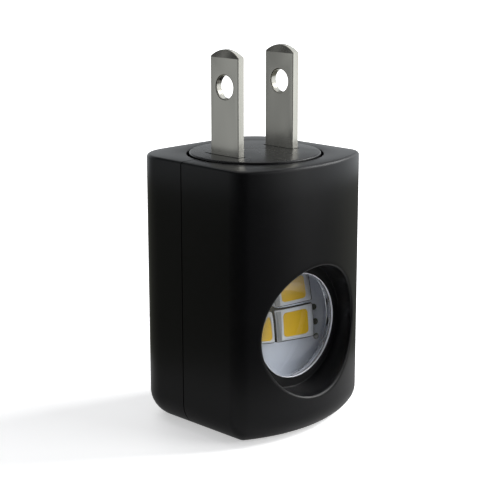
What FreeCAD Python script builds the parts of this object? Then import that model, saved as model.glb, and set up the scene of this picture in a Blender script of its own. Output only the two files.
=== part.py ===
import FreeCAD, Part
import math
import os

# A small wall night light that hangs below its own two-blade plug.
# The origin is the centre of the bottom end face, +Z points along the blades, the lens looks to -Y.
# All lengths are millimetres.

# Housing outline
HOUSING_WIDTH = 29.3
HOUSING_DEPTH = 29.6
HOUSING_HEIGHT = 45.4
FRONT_ARC_RISE = 4.3
BACK_ARC_RISE = 0.5
FRONT_CORNER_RADIUS = 3.3
BACK_CORNER_RADIUS = 6.6
BOTTOM_EDGE_RADIUS = 4.5
TOP_EDGE_RADIUS = 0.6

# Housing walls and the joint between its two shells
SIDE_WALL = 1.6
FLOOR_WALL = 1.8
TOP_WALL = 2.0
SEAM_Y = 2.2
SEAM_GROOVE_WIDTH = 0.2
SEAM_GROOVE_DEPTH = 0.45
TONGUE_LENGTH = 1.0
TONGUE_CLEARANCE = 0.06

# Turning plug disc
DISC_RADIUS = 10.95
DISC_GAP = 0.45
DISC_PROUD = 0.3
DISC_EDGE_CHAMFER = 0.25
FLANGE_RADIUS = 12.3
FLANGE_THICKNESS = 1.6
DISC_END_PLAY = 0.15
SHELF_THICKNESS = 1.2

# Plug blades, to the usual two-blade pattern
BLADE_SPACING = 12.7
BLADE_WIDTH = 6.35
BLADE_THICKNESS = 1.4
BLADE_LENGTH = 17.2
BLADE_TIP_RISE = 1.15
BLADE_COIN_LENGTH = 1.35
BLADE_COIN_DEPTH = 0.32
BLADE_HOLE_RADIUS = 1.9
BLADE_HOLE_HEIGHT = 11.15
BLADE_HOLE_CHAMFER = 0.15
BLADE_SHOULDER_WIDTH = 8.6
BLADE_SHOULDER_HEIGHT = 1.5
BLADE_TAIL_WIDTH = 4.0
SLOT_CLEARANCE = 0.06
LEFT_SLOT_OVERRUN = 1.6
RIGHT_SLOT_OVERRUN = 0.4
SLOT_OVERRUN_WIDTH = 0.4

# Clamp plate under the disc, its screws and the slip contacts
CLAMP_RADIUS = 10.6
CLAMP_THICKNESS = 3.0
SCREW_OFFSET = 6.3
SCREW_SHANK_RADIUS = 1.0
SCREW_HEAD_RADIUS = 1.7
SCREW_HEAD_HEIGHT = 1.2
SCREW_GRIP = 2.4
SCREW_CLEARANCE = 0.05
SCREW_SLOT_WIDTH = 0.5
CONTACT_THICKNESS = 0.5
OUTER_CONTACT_RADIUS = 10.0
OUTER_CONTACT_BORE = 8.6
CENTRE_CONTACT_RADIUS = 3.0
CONTACT_TAB_WIDTH = 4.0
CONTACT_TAB_MARGIN = 0.9

# Contact deck and spring wipers
DECK_THICKNESS = 1.2
DECK_FIT = 0.15
LEDGE_HEIGHT = 0.9
LEDGE_DEPTH = 1.1
WIPER_THICKNESS = 0.3
WIPER_GAP = 0.1
WIPER_ROOM = 3.95
OUTER_WIPER_WIDTH = 1.3
CENTRE_WIPER_WIDTH = 2.4
WIPER_FOOT = 2.6
WIPER_SLOPE_RUN = 3.0
WIPER_CROWN = 1.8
WIPER_BEND_RADIUS = 0.9

# Lens window in the front of the housing
WINDOW_RISE = 0.2
WINDOW_RIM_RADIUS = 11.25
WINDOW_FLOOR_RADIUS = 10.8
WINDOW_DEPTH = 5.7
WINDOW_FLOOR_THICKNESS = 1.2
WINDOW_TUBE_WALL = 1.3

# Lens
LENS_EDGE_RADIUS = 8.8
LENS_PROUD = 0.3
LENS_DOME_RADIUS = 16.0
LENS_FLANGE_RADIUS = 10.1
LENS_FLANGE_THICKNESS = 1.0
LENS_RIM_LENGTH = 6.5
LENS_BLOCK_TAPER = 0.3
LENS_CLEARANCE = 0.05
BARREL_WALL = 0.8

# Boards
LENS_TO_LED = 0.2
LED_BOARD_THICKNESS = 1.0
DRIVER_BOARD_FRONT = 4.6
DRIVER_BOARD_THICKNESS = 1.2
BOARD_SIDE_GAP = 0.35
BOARD_FLOOR_GAP = 3.4
BOARD_DECK_GAP = 2.2
BOARD_FIT = 0.05
RAIL_REACH = 1.2
RAIL_THICKNESS = 1.1
RAIL_STOP_HEIGHT = 1.0
RAIL_CLEARANCE = 0.1

# Light-emitting diodes
LED_WIDTH = 5.5
LED_HEIGHT = 4.0
LED_THICKNESS = 0.8
LED_COLUMN_GAP = 0.4
LED_ROW_GAP = 0.5
LED_CORNER_RADIUS = 0.15
LED_ARRAY_X = 0.6
LED_ARRAY_RISE = 1.0
PHOSPHOR_WIDTH = 3.7
PHOSPHOR_HEIGHT = 3.1
PHOSPHOR_CORNER_RADIUS = 0.5
PHOSPHOR_OFFSET = 0.12
PHOSPHOR_DEPTH = 0.3
VIA_RADIUS = 0.28
VIA_PITCH = 1.7
VIA_COUNT = 3
VIA_SIDE_GAP = 0.9
VIA_TOP_DROP = 1.2

# Driver parts, placed by their drop from the top edge of the driver board
FILM_CAP_BOTTOM = 7.0
FILM_CAP_RAIL_GAP = 0.5
FILM_CAP_CAN_GAP = 2.75
FILM_CAP_TOP_GAP = 1.9
FILM_CAP_WALL_GAP = 1.8
FILM_CAP_EDGE_RADIUS = 0.7
CAN_BOTTOM = 8.2
CAN_RAIL_GAP = 1.45
CAN_TOP_GAP = 2.55
CAN_WALL_GAP = 1.1
CAN_CRIMP_DEPTH = 0.3
CAN_CRIMP_HEIGHT = 1.6
CAN_PLUG_HEIGHT = 0.4
BRIDGE_SIZE = (4.7, 2.3, 3.9)
BRIDGE_DROP = 4.8
CHIP_SIZE = (4.9, 1.5, 3.9)
CHIP_DROP = 6.2
CHIP_CHAMFER_SHARE = 1 / 6
PIN_WIDTH = 0.6
PIN_LENGTH = 0.9
PIN_THICKNESS = 0.25
FUSIBLE_RADIUS = 1.2
FUSIBLE_LENGTH = 6.4
FUSIBLE_DROP = 10.2
BLEED_RADIUS = 0.95
BLEED_LENGTH = 5.6
BLEED_X = 1.2
BLEED_DROP = 1.6
RESISTOR_LEAD_RADIUS = 0.3
RESISTOR_LEAD_REACH = 1.7
RESISTOR_STAND = 0.4
RESISTOR_WAIST = 0.8
RESISTOR_CAP = 0.25

# Leads and link pins
LEAD_RADIUS = 0.6
LEAD_Y = 9.2
LEAD_DROP = 1.6
LEAD_BEND_RADIUS = 1.4
LINK_PIN_RADIUS = 0.4
LINK_PIN_RAIL_GAP = 0.5
LINK_PIN_DROP = 3.2

# Values that follow from the sizes above
CEILING_Z = HOUSING_HEIGHT - TOP_WALL
DISC_FACE_Z = HOUSING_HEIGHT + DISC_PROUD
FLANGE_TOP_Z = CEILING_Z - DISC_END_PLAY
DISC_UNDERSIDE_Z = FLANGE_TOP_Z - FLANGE_THICKNESS
SHELF_TOP_Z = DISC_UNDERSIDE_Z - DISC_END_PLAY
OPENING_RADIUS = DISC_RADIUS + DISC_GAP
CLAMP_UNDERSIDE_Z = DISC_UNDERSIDE_Z - CLAMP_THICKNESS
CONTACT_UNDERSIDE_Z = CLAMP_UNDERSIDE_Z - CONTACT_THICKNESS
DECK_TOP_Z = CONTACT_UNDERSIDE_Z - WIPER_ROOM
DECK_UNDERSIDE = DECK_TOP_Z - DECK_THICKNESS
WINDOW_Z = (FLOOR_WALL + DECK_UNDERSIDE) / 2 + WINDOW_RISE
FRONT_Y = -HOUSING_DEPTH / 2
BACK_Y = HOUSING_DEPTH / 2
WINDOW_FLOOR_Y = FRONT_Y + WINDOW_DEPTH
LENS_SEAT_Y = WINDOW_FLOOR_Y + WINDOW_FLOOR_THICKNESS
FLANGE_BACK_Y = LENS_SEAT_Y + LENS_FLANGE_THICKNESS
LENS_EDGE_Y = WINDOW_FLOOR_Y - LENS_PROUD
LENS_BACK_Y = LENS_EDGE_Y + LENS_RIM_LENGTH
LED_BOARD_FRONT = LENS_BACK_Y + LENS_TO_LED + LED_THICKNESS
LED_BOARD_BACK = LED_BOARD_FRONT + LED_BOARD_THICKNESS
BOARD_HALF_WIDTH = HOUSING_WIDTH / 2 - SIDE_WALL - BOARD_SIDE_GAP
DRIVER_BACK = DRIVER_BOARD_FRONT + DRIVER_BOARD_THICKNESS
BOARD_BOTTOM = FLOOR_WALL + BOARD_FLOOR_GAP
BOARD_TOP = DECK_UNDERSIDE - BOARD_DECK_GAP
RAIL_INNER = BOARD_HALF_WIDTH - RAIL_REACH
DRIVER_ROOM = BACK_Y - SIDE_WALL - DRIVER_BACK
CAN_RADIUS = (DRIVER_ROOM - CAN_WALL_GAP) / 2
CAN_X = RAIL_INNER - CAN_RAIL_GAP - CAN_RADIUS
FILM_CAP_START = FILM_CAP_RAIL_GAP - RAIL_INNER
FILM_CAP_END = CAN_X - CAN_RADIUS - FILM_CAP_CAN_GAP
FILM_CAP_X = (FILM_CAP_START + FILM_CAP_END) / 2
FUSIBLE_Z = BOARD_TOP - FUSIBLE_DROP
CHIP_Z = BOARD_TOP - CHIP_DROP
LINK_PIN_X = RAIL_INNER - LINK_PIN_RAIL_GAP - LINK_PIN_RADIUS
LINK_PIN_Z = BOARD_TOP - LINK_PIN_DROP
LEAD_BOARD_Z = BOARD_TOP - LEAD_DROP

Z_AXIS = FreeCAD.Vector(0, 0, 1)
Y_AXIS = FreeCAD.Vector(0, 1, 0)
X_AXIS = FreeCAD.Vector(1, 0, 0)


def point(x, y, z):
    return FreeCAD.Vector(x, y, z)


def centred_box(x, y, z, width, depth, height):
    """A box centred on x and y that starts at height z."""
    return Part.makeBox(width, depth, height, point(x - width / 2, y - depth / 2, z))


def face_box(x, y, z, width, depth, height):
    """A box centred on x and z that starts at y and runs towards +Y."""
    return Part.makeBox(width, depth, height, point(x - width / 2, y, z - height / 2))


def upright_cylinder(radius, bottom, top, x=0, y=0):
    return Part.makeCylinder(radius, top - bottom, point(x, y, bottom), Z_AXIS)


def window_cylinder(radius, start, end, x=0, z=WINDOW_Z):
    """A cylinder along +Y, on the window's axis unless x and z say otherwise."""
    return Part.makeCylinder(radius, end - start, point(x, start, z), Y_AXIS)


def arc_radius(chord, rise):
    return (chord * chord / 4 + rise * rise) / (2 * rise)


def edges_along(shape, direction):
    """The straight edges of a shape that run along one axis."""
    found = []
    for edge in shape.Edges:
        span = edge.lastVertex().Point.sub(edge.firstVertex().Point)
        if span.Length > 0 and abs(abs(span.normalize().dot(direction)) - 1) < 1e-6:
            found.append(edge)
    return found


def edges_at_height(shape, height):
    """The edges of a shape that lie flat at one height."""
    return [edge for edge in shape.Edges
            if abs(edge.BoundBox.ZMin - height) < 1e-5 and abs(edge.BoundBox.ZMax - height) < 1e-5]


def housing_plan(inset):
    """The housing seen from above, drawn in by inset: two arcs and two straight sides."""
    half = HOUSING_WIDTH / 2 - inset
    front_radius = arc_radius(HOUSING_WIDTH, FRONT_ARC_RISE)
    back_radius = arc_radius(HOUSING_WIDTH, BACK_ARC_RISE)
    front_centre = FRONT_Y + front_radius
    back_centre = BACK_Y - back_radius
    front_side = front_centre - math.sqrt((front_radius - inset) ** 2 - half ** 2)
    back_side = back_centre + math.sqrt((back_radius - inset) ** 2 - half ** 2)
    left_front, right_front = point(-half, front_side, 0), point(half, front_side, 0)
    left_back, right_back = point(-half, back_side, 0), point(half, back_side, 0)
    front = Part.Arc(left_front, point(0, FRONT_Y + inset, 0), right_front)
    back = Part.Arc(right_back, point(0, BACK_Y - inset, 0), left_back)
    right = Part.LineSegment(right_front, right_back)
    left = Part.LineSegment(left_back, left_front)
    wire = Part.Wire([front.toShape(), right.toShape(), back.toShape(), left.toShape()])
    return Part.Face(wire)


def housing_block(inset, bottom, top):
    """The housing's plan raised between two heights, with its four upright corners rounded."""
    face = housing_plan(inset)
    face.translate(point(0, 0, bottom))
    block = face.extrude(point(0, 0, top - bottom))
    uprights = edges_along(block, Z_AXIS)
    front = [edge for edge in uprights if edge.BoundBox.YMin < 0]
    back = [edge for edge in uprights if edge.BoundBox.YMin > 0]
    block = block.makeFillet(FRONT_CORNER_RADIUS - inset, front)
    back_edges = [edge for edge in edges_along(block, Z_AXIS)
                  if any(edge.BoundBox.Center.distanceToPoint(old.BoundBox.Center) < 1e-4 for old in back)]
    return block.makeFillet(BACK_CORNER_RADIUS - inset, back_edges)


def outer_block():
    block = housing_block(0, 0, HOUSING_HEIGHT)
    block = block.makeFillet(BOTTOM_EDGE_RADIUS, edges_at_height(block, 0))
    return block.makeFillet(TOP_EDGE_RADIUS, edges_at_height(block, HOUSING_HEIGHT))


def cavity_block():
    block = housing_block(SIDE_WALL, FLOOR_WALL, CEILING_Z)
    inner_radius = BOTTOM_EDGE_RADIUS - SIDE_WALL
    return block.makeFillet(inner_radius, edges_at_height(block, FLOOR_WALL))


def slab(start, end):
    """Everything between two planes square to Y."""
    reach = 2 * HOUSING_HEIGHT
    return Part.makeBox(reach, end - start, 2 * reach, point(-reach / 2, start, -reach / 2))


def ledge(bottom, top, depth):
    """A rim of plastic that stands in from the side walls between two heights."""
    rim = housing_block(SIDE_WALL / 2, bottom, top)
    return rim.cut(housing_block(SIDE_WALL + depth, bottom, top))


def disc_shelf():
    """The shelf inside the shells that the disc's flange turns on."""
    shelf = housing_block(SIDE_WALL / 2, SHELF_TOP_Z - SHELF_THICKNESS, SHELF_TOP_Z)
    return shelf.cut(upright_cylinder(OPENING_RADIUS, 0, HOUSING_HEIGHT))


def rails(start, end, outer=HOUSING_WIDTH / 2 - SIDE_WALL / 2, bottom=BOARD_BOTTOM, top=BOARD_TOP):
    """A pair of upright ribs, one for each side edge of a board, that end at outer."""
    return [Part.makeBox(outer - RAIL_INNER, end - start, top - bottom, point(left, start, bottom))
            for left in (-outer, RAIL_INNER)]


def board_stops(start, end):
    """Short steps under a board's two lower corners."""
    return rails(start, end, bottom=BOARD_BOTTOM - RAIL_STOP_HEIGHT, top=BOARD_BOTTOM)


def shell_body():
    """The whole hollow housing with its shelf and deck ledges, before it is parted."""
    body = outer_block().cut(cavity_block())
    body = body.cut(upright_cylinder(OPENING_RADIUS, CEILING_Z - TOP_WALL, HOUSING_HEIGHT + TOP_WALL))
    lower = ledge(DECK_UNDERSIDE - LEDGE_HEIGHT, DECK_UNDERSIDE, LEDGE_DEPTH)
    upper = ledge(DECK_TOP_Z + BOARD_FIT, DECK_TOP_Z + BOARD_FIT + LEDGE_HEIGHT, LEDGE_DEPTH)
    return body.fuse([disc_shelf(), lower, upper])


def seam_groove():
    """The fine shadow line that runs round the housing where its shells meet."""
    half = SEAM_GROOVE_WIDTH / 2
    ring = slab(SEAM_Y - half, SEAM_Y + half)
    core = housing_block(SEAM_GROOVE_DEPTH, SEAM_GROOVE_DEPTH, HOUSING_HEIGHT - SEAM_GROOVE_DEPTH)
    core = core.makeFillet(BOTTOM_EDGE_RADIUS - SEAM_GROOVE_DEPTH, edges_at_height(core, SEAM_GROOVE_DEPTH))
    return ring.cut(core)


def tongue(clearance, length):
    """The inner half of the wall, which one shell pushes into the other along the seam."""
    inset = SIDE_WALL / 2 + clearance
    core = housing_block(inset, inset, CEILING_Z - TOP_WALL)
    core = core.makeFillet(BOTTOM_EDGE_RADIUS - inset, edges_at_height(core, inset))
    return core.cut(cavity_block()).common(slab(SEAM_Y - clearance, SEAM_Y + length))


def window_tube():
    """The round well behind the window, with its floor."""
    tube = window_cylinder(WINDOW_RIM_RADIUS + WINDOW_TUBE_WALL, FRONT_Y, LENS_SEAT_Y)
    return tube.common(housing_block(SIDE_WALL / 2, FLOOR_WALL, CEILING_Z))


def window_cut():
    """The tapered well that is open to the front, and the lens hole in its floor."""
    taper = (WINDOW_RIM_RADIUS - WINDOW_FLOOR_RADIUS) / WINDOW_DEPTH
    lead = WINDOW_FLOOR_THICKNESS
    well = Part.makeCone(WINDOW_RIM_RADIUS + taper * lead, WINDOW_FLOOR_RADIUS, WINDOW_DEPTH + lead,
                         point(0, FRONT_Y - lead, WINDOW_Z), Y_AXIS)
    hole = window_cylinder(LENS_EDGE_RADIUS + LENS_CLEARANCE, FRONT_Y, LENS_SEAT_Y + lead)
    return well.fuse(hole)


def front_shell(body):
    shell = body.common(slab(-HOUSING_DEPTH, SEAM_Y))
    shell = shell.fuse([window_tube(), tongue(TONGUE_CLEARANCE, TONGUE_LENGTH)])
    seat = LED_BOARD_FRONT - BOARD_FIT
    start = seat - RAIL_THICKNESS
    shell = shell.fuse(rails(start, seat) + board_stops(start, LED_BOARD_BACK))
    return shell.cut([window_cut(), seam_groove()]).removeSplitter()


def rear_shell(body):
    past_tongue = SEAM_Y + TONGUE_LENGTH + 2 * TONGUE_CLEARANCE
    driver_seat = DRIVER_BOARD_FRONT - BOARD_FIT
    driver_hold = DRIVER_BACK + BOARD_FIT
    shell = body.common(slab(SEAM_Y, HOUSING_DEPTH))
    shell = shell.cut(tongue(0, TONGUE_LENGTH + TONGUE_CLEARANCE))
    fingers = rails(LED_BOARD_BACK + BOARD_FIT, driver_seat, HOUSING_WIDTH / 2 - SIDE_WALL - RAIL_CLEARANCE)
    roots = rails(past_tongue, driver_seat)
    behind = rails(driver_hold, driver_hold + RAIL_THICKNESS)
    stops = board_stops(past_tongue, driver_hold + RAIL_THICKNESS)
    return shell.fuse(fingers + roots + behind + stops).cut(seam_groove()).removeSplitter()


def blade_slot(side, overrun):
    """The slot a blade stands in, with the narrow moulded overrun behind it."""
    x = side * BLADE_SPACING / 2
    slot = centred_box(x, 0, 0, BLADE_THICKNESS + 2 * SLOT_CLEARANCE,
                       BLADE_WIDTH + 2 * SLOT_CLEARANCE, 2 * HOUSING_HEIGHT)
    tail = Part.makeBox(SLOT_OVERRUN_WIDTH, overrun, FLANGE_THICKNESS,
                        point(x - BLADE_THICKNESS / 2, BLADE_WIDTH / 2, DISC_FACE_Z - FLANGE_THICKNESS))
    return slot.fuse(tail)


def plug_disc():
    disc = upright_cylinder(DISC_RADIUS, DISC_UNDERSIDE_Z, DISC_FACE_Z)
    disc = disc.makeChamfer(DISC_EDGE_CHAMFER, edges_at_height(disc, DISC_FACE_Z))
    disc = disc.fuse(upright_cylinder(FLANGE_RADIUS, DISC_UNDERSIDE_Z, FLANGE_TOP_Z))
    pilots = [upright_cylinder(SCREW_SHANK_RADIUS + SCREW_CLEARANCE, DISC_UNDERSIDE_Z,
                               DISC_UNDERSIDE_Z + SCREW_GRIP + SCREW_CLEARANCE, 0, y)
              for y in (-SCREW_OFFSET, SCREW_OFFSET)]
    slots = [blade_slot(-1, LEFT_SLOT_OVERRUN), blade_slot(1, RIGHT_SLOT_OVERRUN)]
    return disc.cut(pilots + slots).removeSplitter()


def blade(side):
    """A flat blade with a coined, arched tip, a round hole, and a shouldered tail."""
    x = side * BLADE_SPACING / 2
    tip = DISC_FACE_Z + BLADE_LENGTH
    half = BLADE_WIDTH / 2
    corner = tip - BLADE_TIP_RISE
    thickness = point(BLADE_THICKNESS, 0, 0)
    start = x - BLADE_THICKNESS / 2
    arch = Part.Arc(point(start, half, corner), point(start, 0, tip), point(start, -half, corner))
    foot_left, foot_right = point(start, -half, DISC_UNDERSIDE_Z), point(start, half, DISC_UNDERSIDE_Z)
    sides = [Part.LineSegment(point(start, -half, corner), foot_left),
             Part.LineSegment(foot_left, foot_right),
             Part.LineSegment(foot_right, point(start, half, corner))]
    outline = Part.Wire([arch.toShape()] + [side_line.toShape() for side_line in sides])
    body = Part.Face(outline).extrude(thickness)
    shoulder = centred_box(x, 0, DISC_UNDERSIDE_Z - BLADE_SHOULDER_HEIGHT,
                           BLADE_THICKNESS, BLADE_SHOULDER_WIDTH, BLADE_SHOULDER_HEIGHT)
    tail = centred_box(x, 0, CLAMP_UNDERSIDE_Z, BLADE_THICKNESS, BLADE_TAIL_WIDTH, CLAMP_THICKNESS)
    hole_z = DISC_FACE_Z + BLADE_HOLE_HEIGHT
    hole = Part.makeCylinder(BLADE_HOLE_RADIUS, 2 * BLADE_THICKNESS,
                             point(x - BLADE_THICKNESS, 0, hole_z), X_AXIS)
    body = body.fuse([shoulder, tail]).cut([hole] + coined_faces(x, tip)).removeSplitter()
    rims = [edge for edge in body.Edges
            if edge.Curve.TypeId == "Part::GeomCircle" and abs(edge.Curve.Radius - BLADE_HOLE_RADIUS) < 1e-6]
    return body.makeChamfer(BLADE_HOLE_CHAMFER, rims)


def coined_faces(x, tip):
    """Two wedges that thin the blade towards its tip."""
    wedges = []
    for facing in (-1, 1):
        surface = x + facing * BLADE_THICKNESS / 2
        inner = surface - facing * BLADE_COIN_DEPTH
        low, high = tip - BLADE_COIN_LENGTH, tip + BLADE_COIN_LENGTH
        lean = inner - facing * BLADE_COIN_DEPTH
        corners = [point(surface, -BLADE_WIDTH, low), point(lean, -BLADE_WIDTH, high),
                   point(surface + facing, -BLADE_WIDTH, high), point(surface + facing, -BLADE_WIDTH, low)]
        profile = Part.makePolygon(corners + [corners[0]])
        wedges.append(Part.Face(profile).extrude(point(0, 2 * BLADE_WIDTH, 0)))
    return wedges


def blade_clamp():
    """The plate screwed under the disc, which traps the blades by their shoulders."""
    plate = upright_cylinder(CLAMP_RADIUS, CLAMP_UNDERSIDE_Z, DISC_UNDERSIDE_Z)
    cuts = []
    for side in (-1, 1):
        x = side * BLADE_SPACING / 2
        cuts.append(centred_box(x, 0, DISC_UNDERSIDE_Z - BLADE_SHOULDER_HEIGHT - SLOT_CLEARANCE,
                                BLADE_THICKNESS + 2 * SLOT_CLEARANCE,
                                BLADE_SHOULDER_WIDTH + 2 * SLOT_CLEARANCE, CLAMP_THICKNESS))
        cuts.append(centred_box(x, 0, 0, BLADE_THICKNESS + 2 * SLOT_CLEARANCE,
                                BLADE_TAIL_WIDTH + 2 * SLOT_CLEARANCE, HOUSING_HEIGHT))
    for y in (-SCREW_OFFSET, SCREW_OFFSET):
        cuts.append(upright_cylinder(SCREW_SHANK_RADIUS + SCREW_CLEARANCE, 0, HOUSING_HEIGHT, 0, y))
        cuts.append(upright_cylinder(SCREW_HEAD_RADIUS + SCREW_CLEARANCE, 0,
                                     CLAMP_UNDERSIDE_Z + SCREW_HEAD_HEIGHT, 0, y))
    return plate.cut(cuts)


def clamp_screw(y):
    head_top = CLAMP_UNDERSIDE_Z + SCREW_HEAD_HEIGHT
    head = upright_cylinder(SCREW_HEAD_RADIUS, CLAMP_UNDERSIDE_Z + SCREW_CLEARANCE, head_top, 0, y)
    shank = upright_cylinder(SCREW_SHANK_RADIUS, CLAMP_UNDERSIDE_Z + SCREW_CLEARANCE,
                             DISC_UNDERSIDE_Z + SCREW_GRIP, 0, y)
    slot = centred_box(0, y, 0, 4 * SCREW_HEAD_RADIUS, SCREW_SLOT_WIDTH,
                       CLAMP_UNDERSIDE_Z + SCREW_HEAD_HEIGHT / 2)
    return head.fuse(shank).cut(slot).removeSplitter()


def clamp_screws():
    return Part.makeCompound([clamp_screw(y) for y in (-SCREW_OFFSET, SCREW_OFFSET)])


def contact_tab(start, end):
    """A flat tab of contact strip along X between two places."""
    return Part.makeBox(end - start, CONTACT_TAB_WIDTH, CONTACT_THICKNESS,
                        point(start, -CONTACT_TAB_WIDTH / 2, CONTACT_UNDERSIDE_Z))


def outer_contact():
    """The ring contact of the left blade, with a tab in to the blade's tail."""
    ring = upright_cylinder(OUTER_CONTACT_RADIUS, CONTACT_UNDERSIDE_Z, CLAMP_UNDERSIDE_Z)
    ring = ring.cut(upright_cylinder(OUTER_CONTACT_BORE, 0, HOUSING_HEIGHT))
    tab = contact_tab(-OUTER_CONTACT_BORE - CONTACT_TAB_MARGIN / 2, -BLADE_SPACING / 2 + CONTACT_TAB_MARGIN)
    return ring.fuse(tab).removeSplitter()


def centre_contact():
    """The round contact of the right blade, with a tab out to the blade's tail."""
    pad = upright_cylinder(CENTRE_CONTACT_RADIUS, CONTACT_UNDERSIDE_Z, CLAMP_UNDERSIDE_Z)
    tab = contact_tab(0, BLADE_SPACING / 2 + CONTACT_TAB_MARGIN)
    return pad.fuse(tab).removeSplitter()


def rounded_path(points, radius):
    """Straight runs through the points, joined by tangent arcs of one radius."""
    edges = []
    last = points[0]
    for before, corner, after in zip(points, points[1:], points[2:]):
        towards = before.sub(corner).normalize()
        away = after.sub(corner).normalize()
        half_turn = math.acos(max(-1, min(1, towards.dot(away)))) / 2
        reach = radius / math.tan(half_turn)
        middle = towards.add(away).normalize()
        centre = corner.add(middle.multiply(radius / math.sin(half_turn)))
        start = corner.add(point(*towards).multiply(reach))
        end = corner.add(point(*away).multiply(reach))
        apex = centre.add(corner.sub(centre).normalize().multiply(radius))
        edges.append(Part.LineSegment(last, start).toShape())
        edges.append(Part.Arc(start, apex, end).toShape())
        last = end
    edges.append(Part.LineSegment(last, points[-1]).toShape())
    return Part.Wire(edges)


def lead_wire(points, radius, bend):
    """A round wire carried along a path of straight runs and tangent bends."""
    direction = points[1].sub(points[0])
    profile = Part.Wire(Part.Circle(points[0], direction, radius).toShape())
    return rounded_path(points, bend).makePipeShell([profile], True, True)


def wiper(x, width):
    """A bowed leaf spring with two feet on the deck and its crown just under a contact."""
    low = DECK_TOP_Z + WIPER_THICKNESS / 2
    high = CONTACT_UNDERSIDE_Z - WIPER_GAP - WIPER_THICKNESS / 2
    crown = WIPER_CROWN / 2
    knee = crown + WIPER_SLOPE_RUN
    end = knee + WIPER_FOOT
    points = [point(x, -end, low), point(x, -knee, low), point(x, -crown, high),
              point(x, crown, high), point(x, knee, low), point(x, end, low)]
    corners = [point(x - width / 2, -end, DECK_TOP_Z), point(x + width / 2, -end, DECK_TOP_Z),
               point(x + width / 2, -end, DECK_TOP_Z + WIPER_THICKNESS),
               point(x - width / 2, -end, DECK_TOP_Z + WIPER_THICKNESS)]
    profile = Part.makePolygon(corners + [corners[0]])
    return rounded_path(points, WIPER_BEND_RADIUS).makePipeShell([profile], True, True)


def outer_wiper():
    radius = (OUTER_CONTACT_RADIUS + OUTER_CONTACT_BORE) / 2
    return wiper(-radius, OUTER_WIPER_WIDTH)


def contact_deck():
    return housing_block(SIDE_WALL + DECK_FIT, DECK_UNDERSIDE, DECK_TOP_Z)


def lens():
    """A thick plano-convex lens: a domed rim through the window floor, a flange, and a tapered block."""
    sag = LENS_DOME_RADIUS - math.sqrt(LENS_DOME_RADIUS ** 2 - LENS_EDGE_RADIUS ** 2)
    apex = LENS_EDGE_Y - sag
    outline = [(LENS_EDGE_Y, LENS_EDGE_RADIUS), (LENS_SEAT_Y, LENS_EDGE_RADIUS),
               (LENS_SEAT_Y, LENS_FLANGE_RADIUS), (FLANGE_BACK_Y, LENS_FLANGE_RADIUS),
               (FLANGE_BACK_Y, LENS_EDGE_RADIUS), (LENS_BACK_Y, LENS_EDGE_RADIUS - LENS_BLOCK_TAPER),
               (LENS_BACK_Y, 0), (apex, 0)]
    places = [point(radius, y, WINDOW_Z) for y, radius in outline]
    half = LENS_EDGE_RADIUS / 2
    bulge = apex + LENS_DOME_RADIUS - math.sqrt(LENS_DOME_RADIUS ** 2 - half ** 2)
    dome = Part.Arc(places[-1], point(half, bulge, WINDOW_Z), places[0]).toShape()
    section = Part.Face(Part.Wire([dome] + Part.makePolygon(places).Edges))
    return section.revolve(point(0, 0, WINDOW_Z), Y_AXIS, 360)


def lens_barrel():
    """The white tube that presses the lens to its seat and stands on the light board."""
    barrel = window_cylinder(LENS_FLANGE_RADIUS, FLANGE_BACK_Y, LED_BOARD_FRONT)
    return barrel.cut(window_cylinder(LENS_FLANGE_RADIUS - BARREL_WALL, FLANGE_BACK_Y, LED_BOARD_FRONT))


def led_places():
    """The centres of the four diodes, as x and z."""
    column = (LED_WIDTH + LED_COLUMN_GAP) / 2
    row = (LED_HEIGHT + LED_ROW_GAP) / 2
    centre_z = WINDOW_Z + LED_ARRAY_RISE
    return [(LED_ARRAY_X + x, centre_z + z) for z in (row, -row) for x in (-column, column)]


def phosphor_fill(x, z):
    start = LED_BOARD_FRONT - LED_THICKNESS
    pad = face_box(x + PHOSPHOR_OFFSET, start, z, PHOSPHOR_WIDTH, PHOSPHOR_DEPTH, PHOSPHOR_HEIGHT)
    return pad.makeFillet(PHOSPHOR_CORNER_RADIUS, edges_along(pad, Y_AXIS))


def led_package(x, z):
    start = LED_BOARD_FRONT - LED_THICKNESS
    package = face_box(x, start, z, LED_WIDTH, LED_THICKNESS, LED_HEIGHT)
    package = package.makeFillet(LED_CORNER_RADIUS, edges_along(package, Y_AXIS))
    return package.cut(phosphor_fill(x, z))


def board(front, thickness):
    return Part.makeBox(2 * BOARD_HALF_WIDTH, thickness, BOARD_TOP - BOARD_BOTTOM,
                        point(-BOARD_HALF_WIDTH, front, BOARD_BOTTOM))


def led_board():
    """The light board, with three plated holes beside the lower right diode."""
    x = LED_ARRAY_X + LED_COLUMN_GAP / 2 + LED_WIDTH + VIA_SIDE_GAP
    top = WINDOW_Z + LED_ARRAY_RISE - VIA_TOP_DROP
    vias = [window_cylinder(VIA_RADIUS, LED_BOARD_FRONT, LED_BOARD_BACK, x, top - number * VIA_PITCH)
            for number in range(VIA_COUNT)]
    return board(LED_BOARD_FRONT, LED_BOARD_THICKNESS).cut(vias)


def film_capacitor():
    """A box capacitor that fills the room below the fusible resistor, beside the can."""
    height = FUSIBLE_Z - FUSIBLE_RADIUS - FILM_CAP_TOP_GAP - FILM_CAP_BOTTOM
    case = face_box(FILM_CAP_X, DRIVER_BACK, FILM_CAP_BOTTOM + height / 2,
                    FILM_CAP_END - FILM_CAP_START, DRIVER_ROOM - FILM_CAP_WALL_GAP, height)
    return case.makeFillet(FILM_CAP_EDGE_RADIUS, edges_along(case, Y_AXIS))


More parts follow.
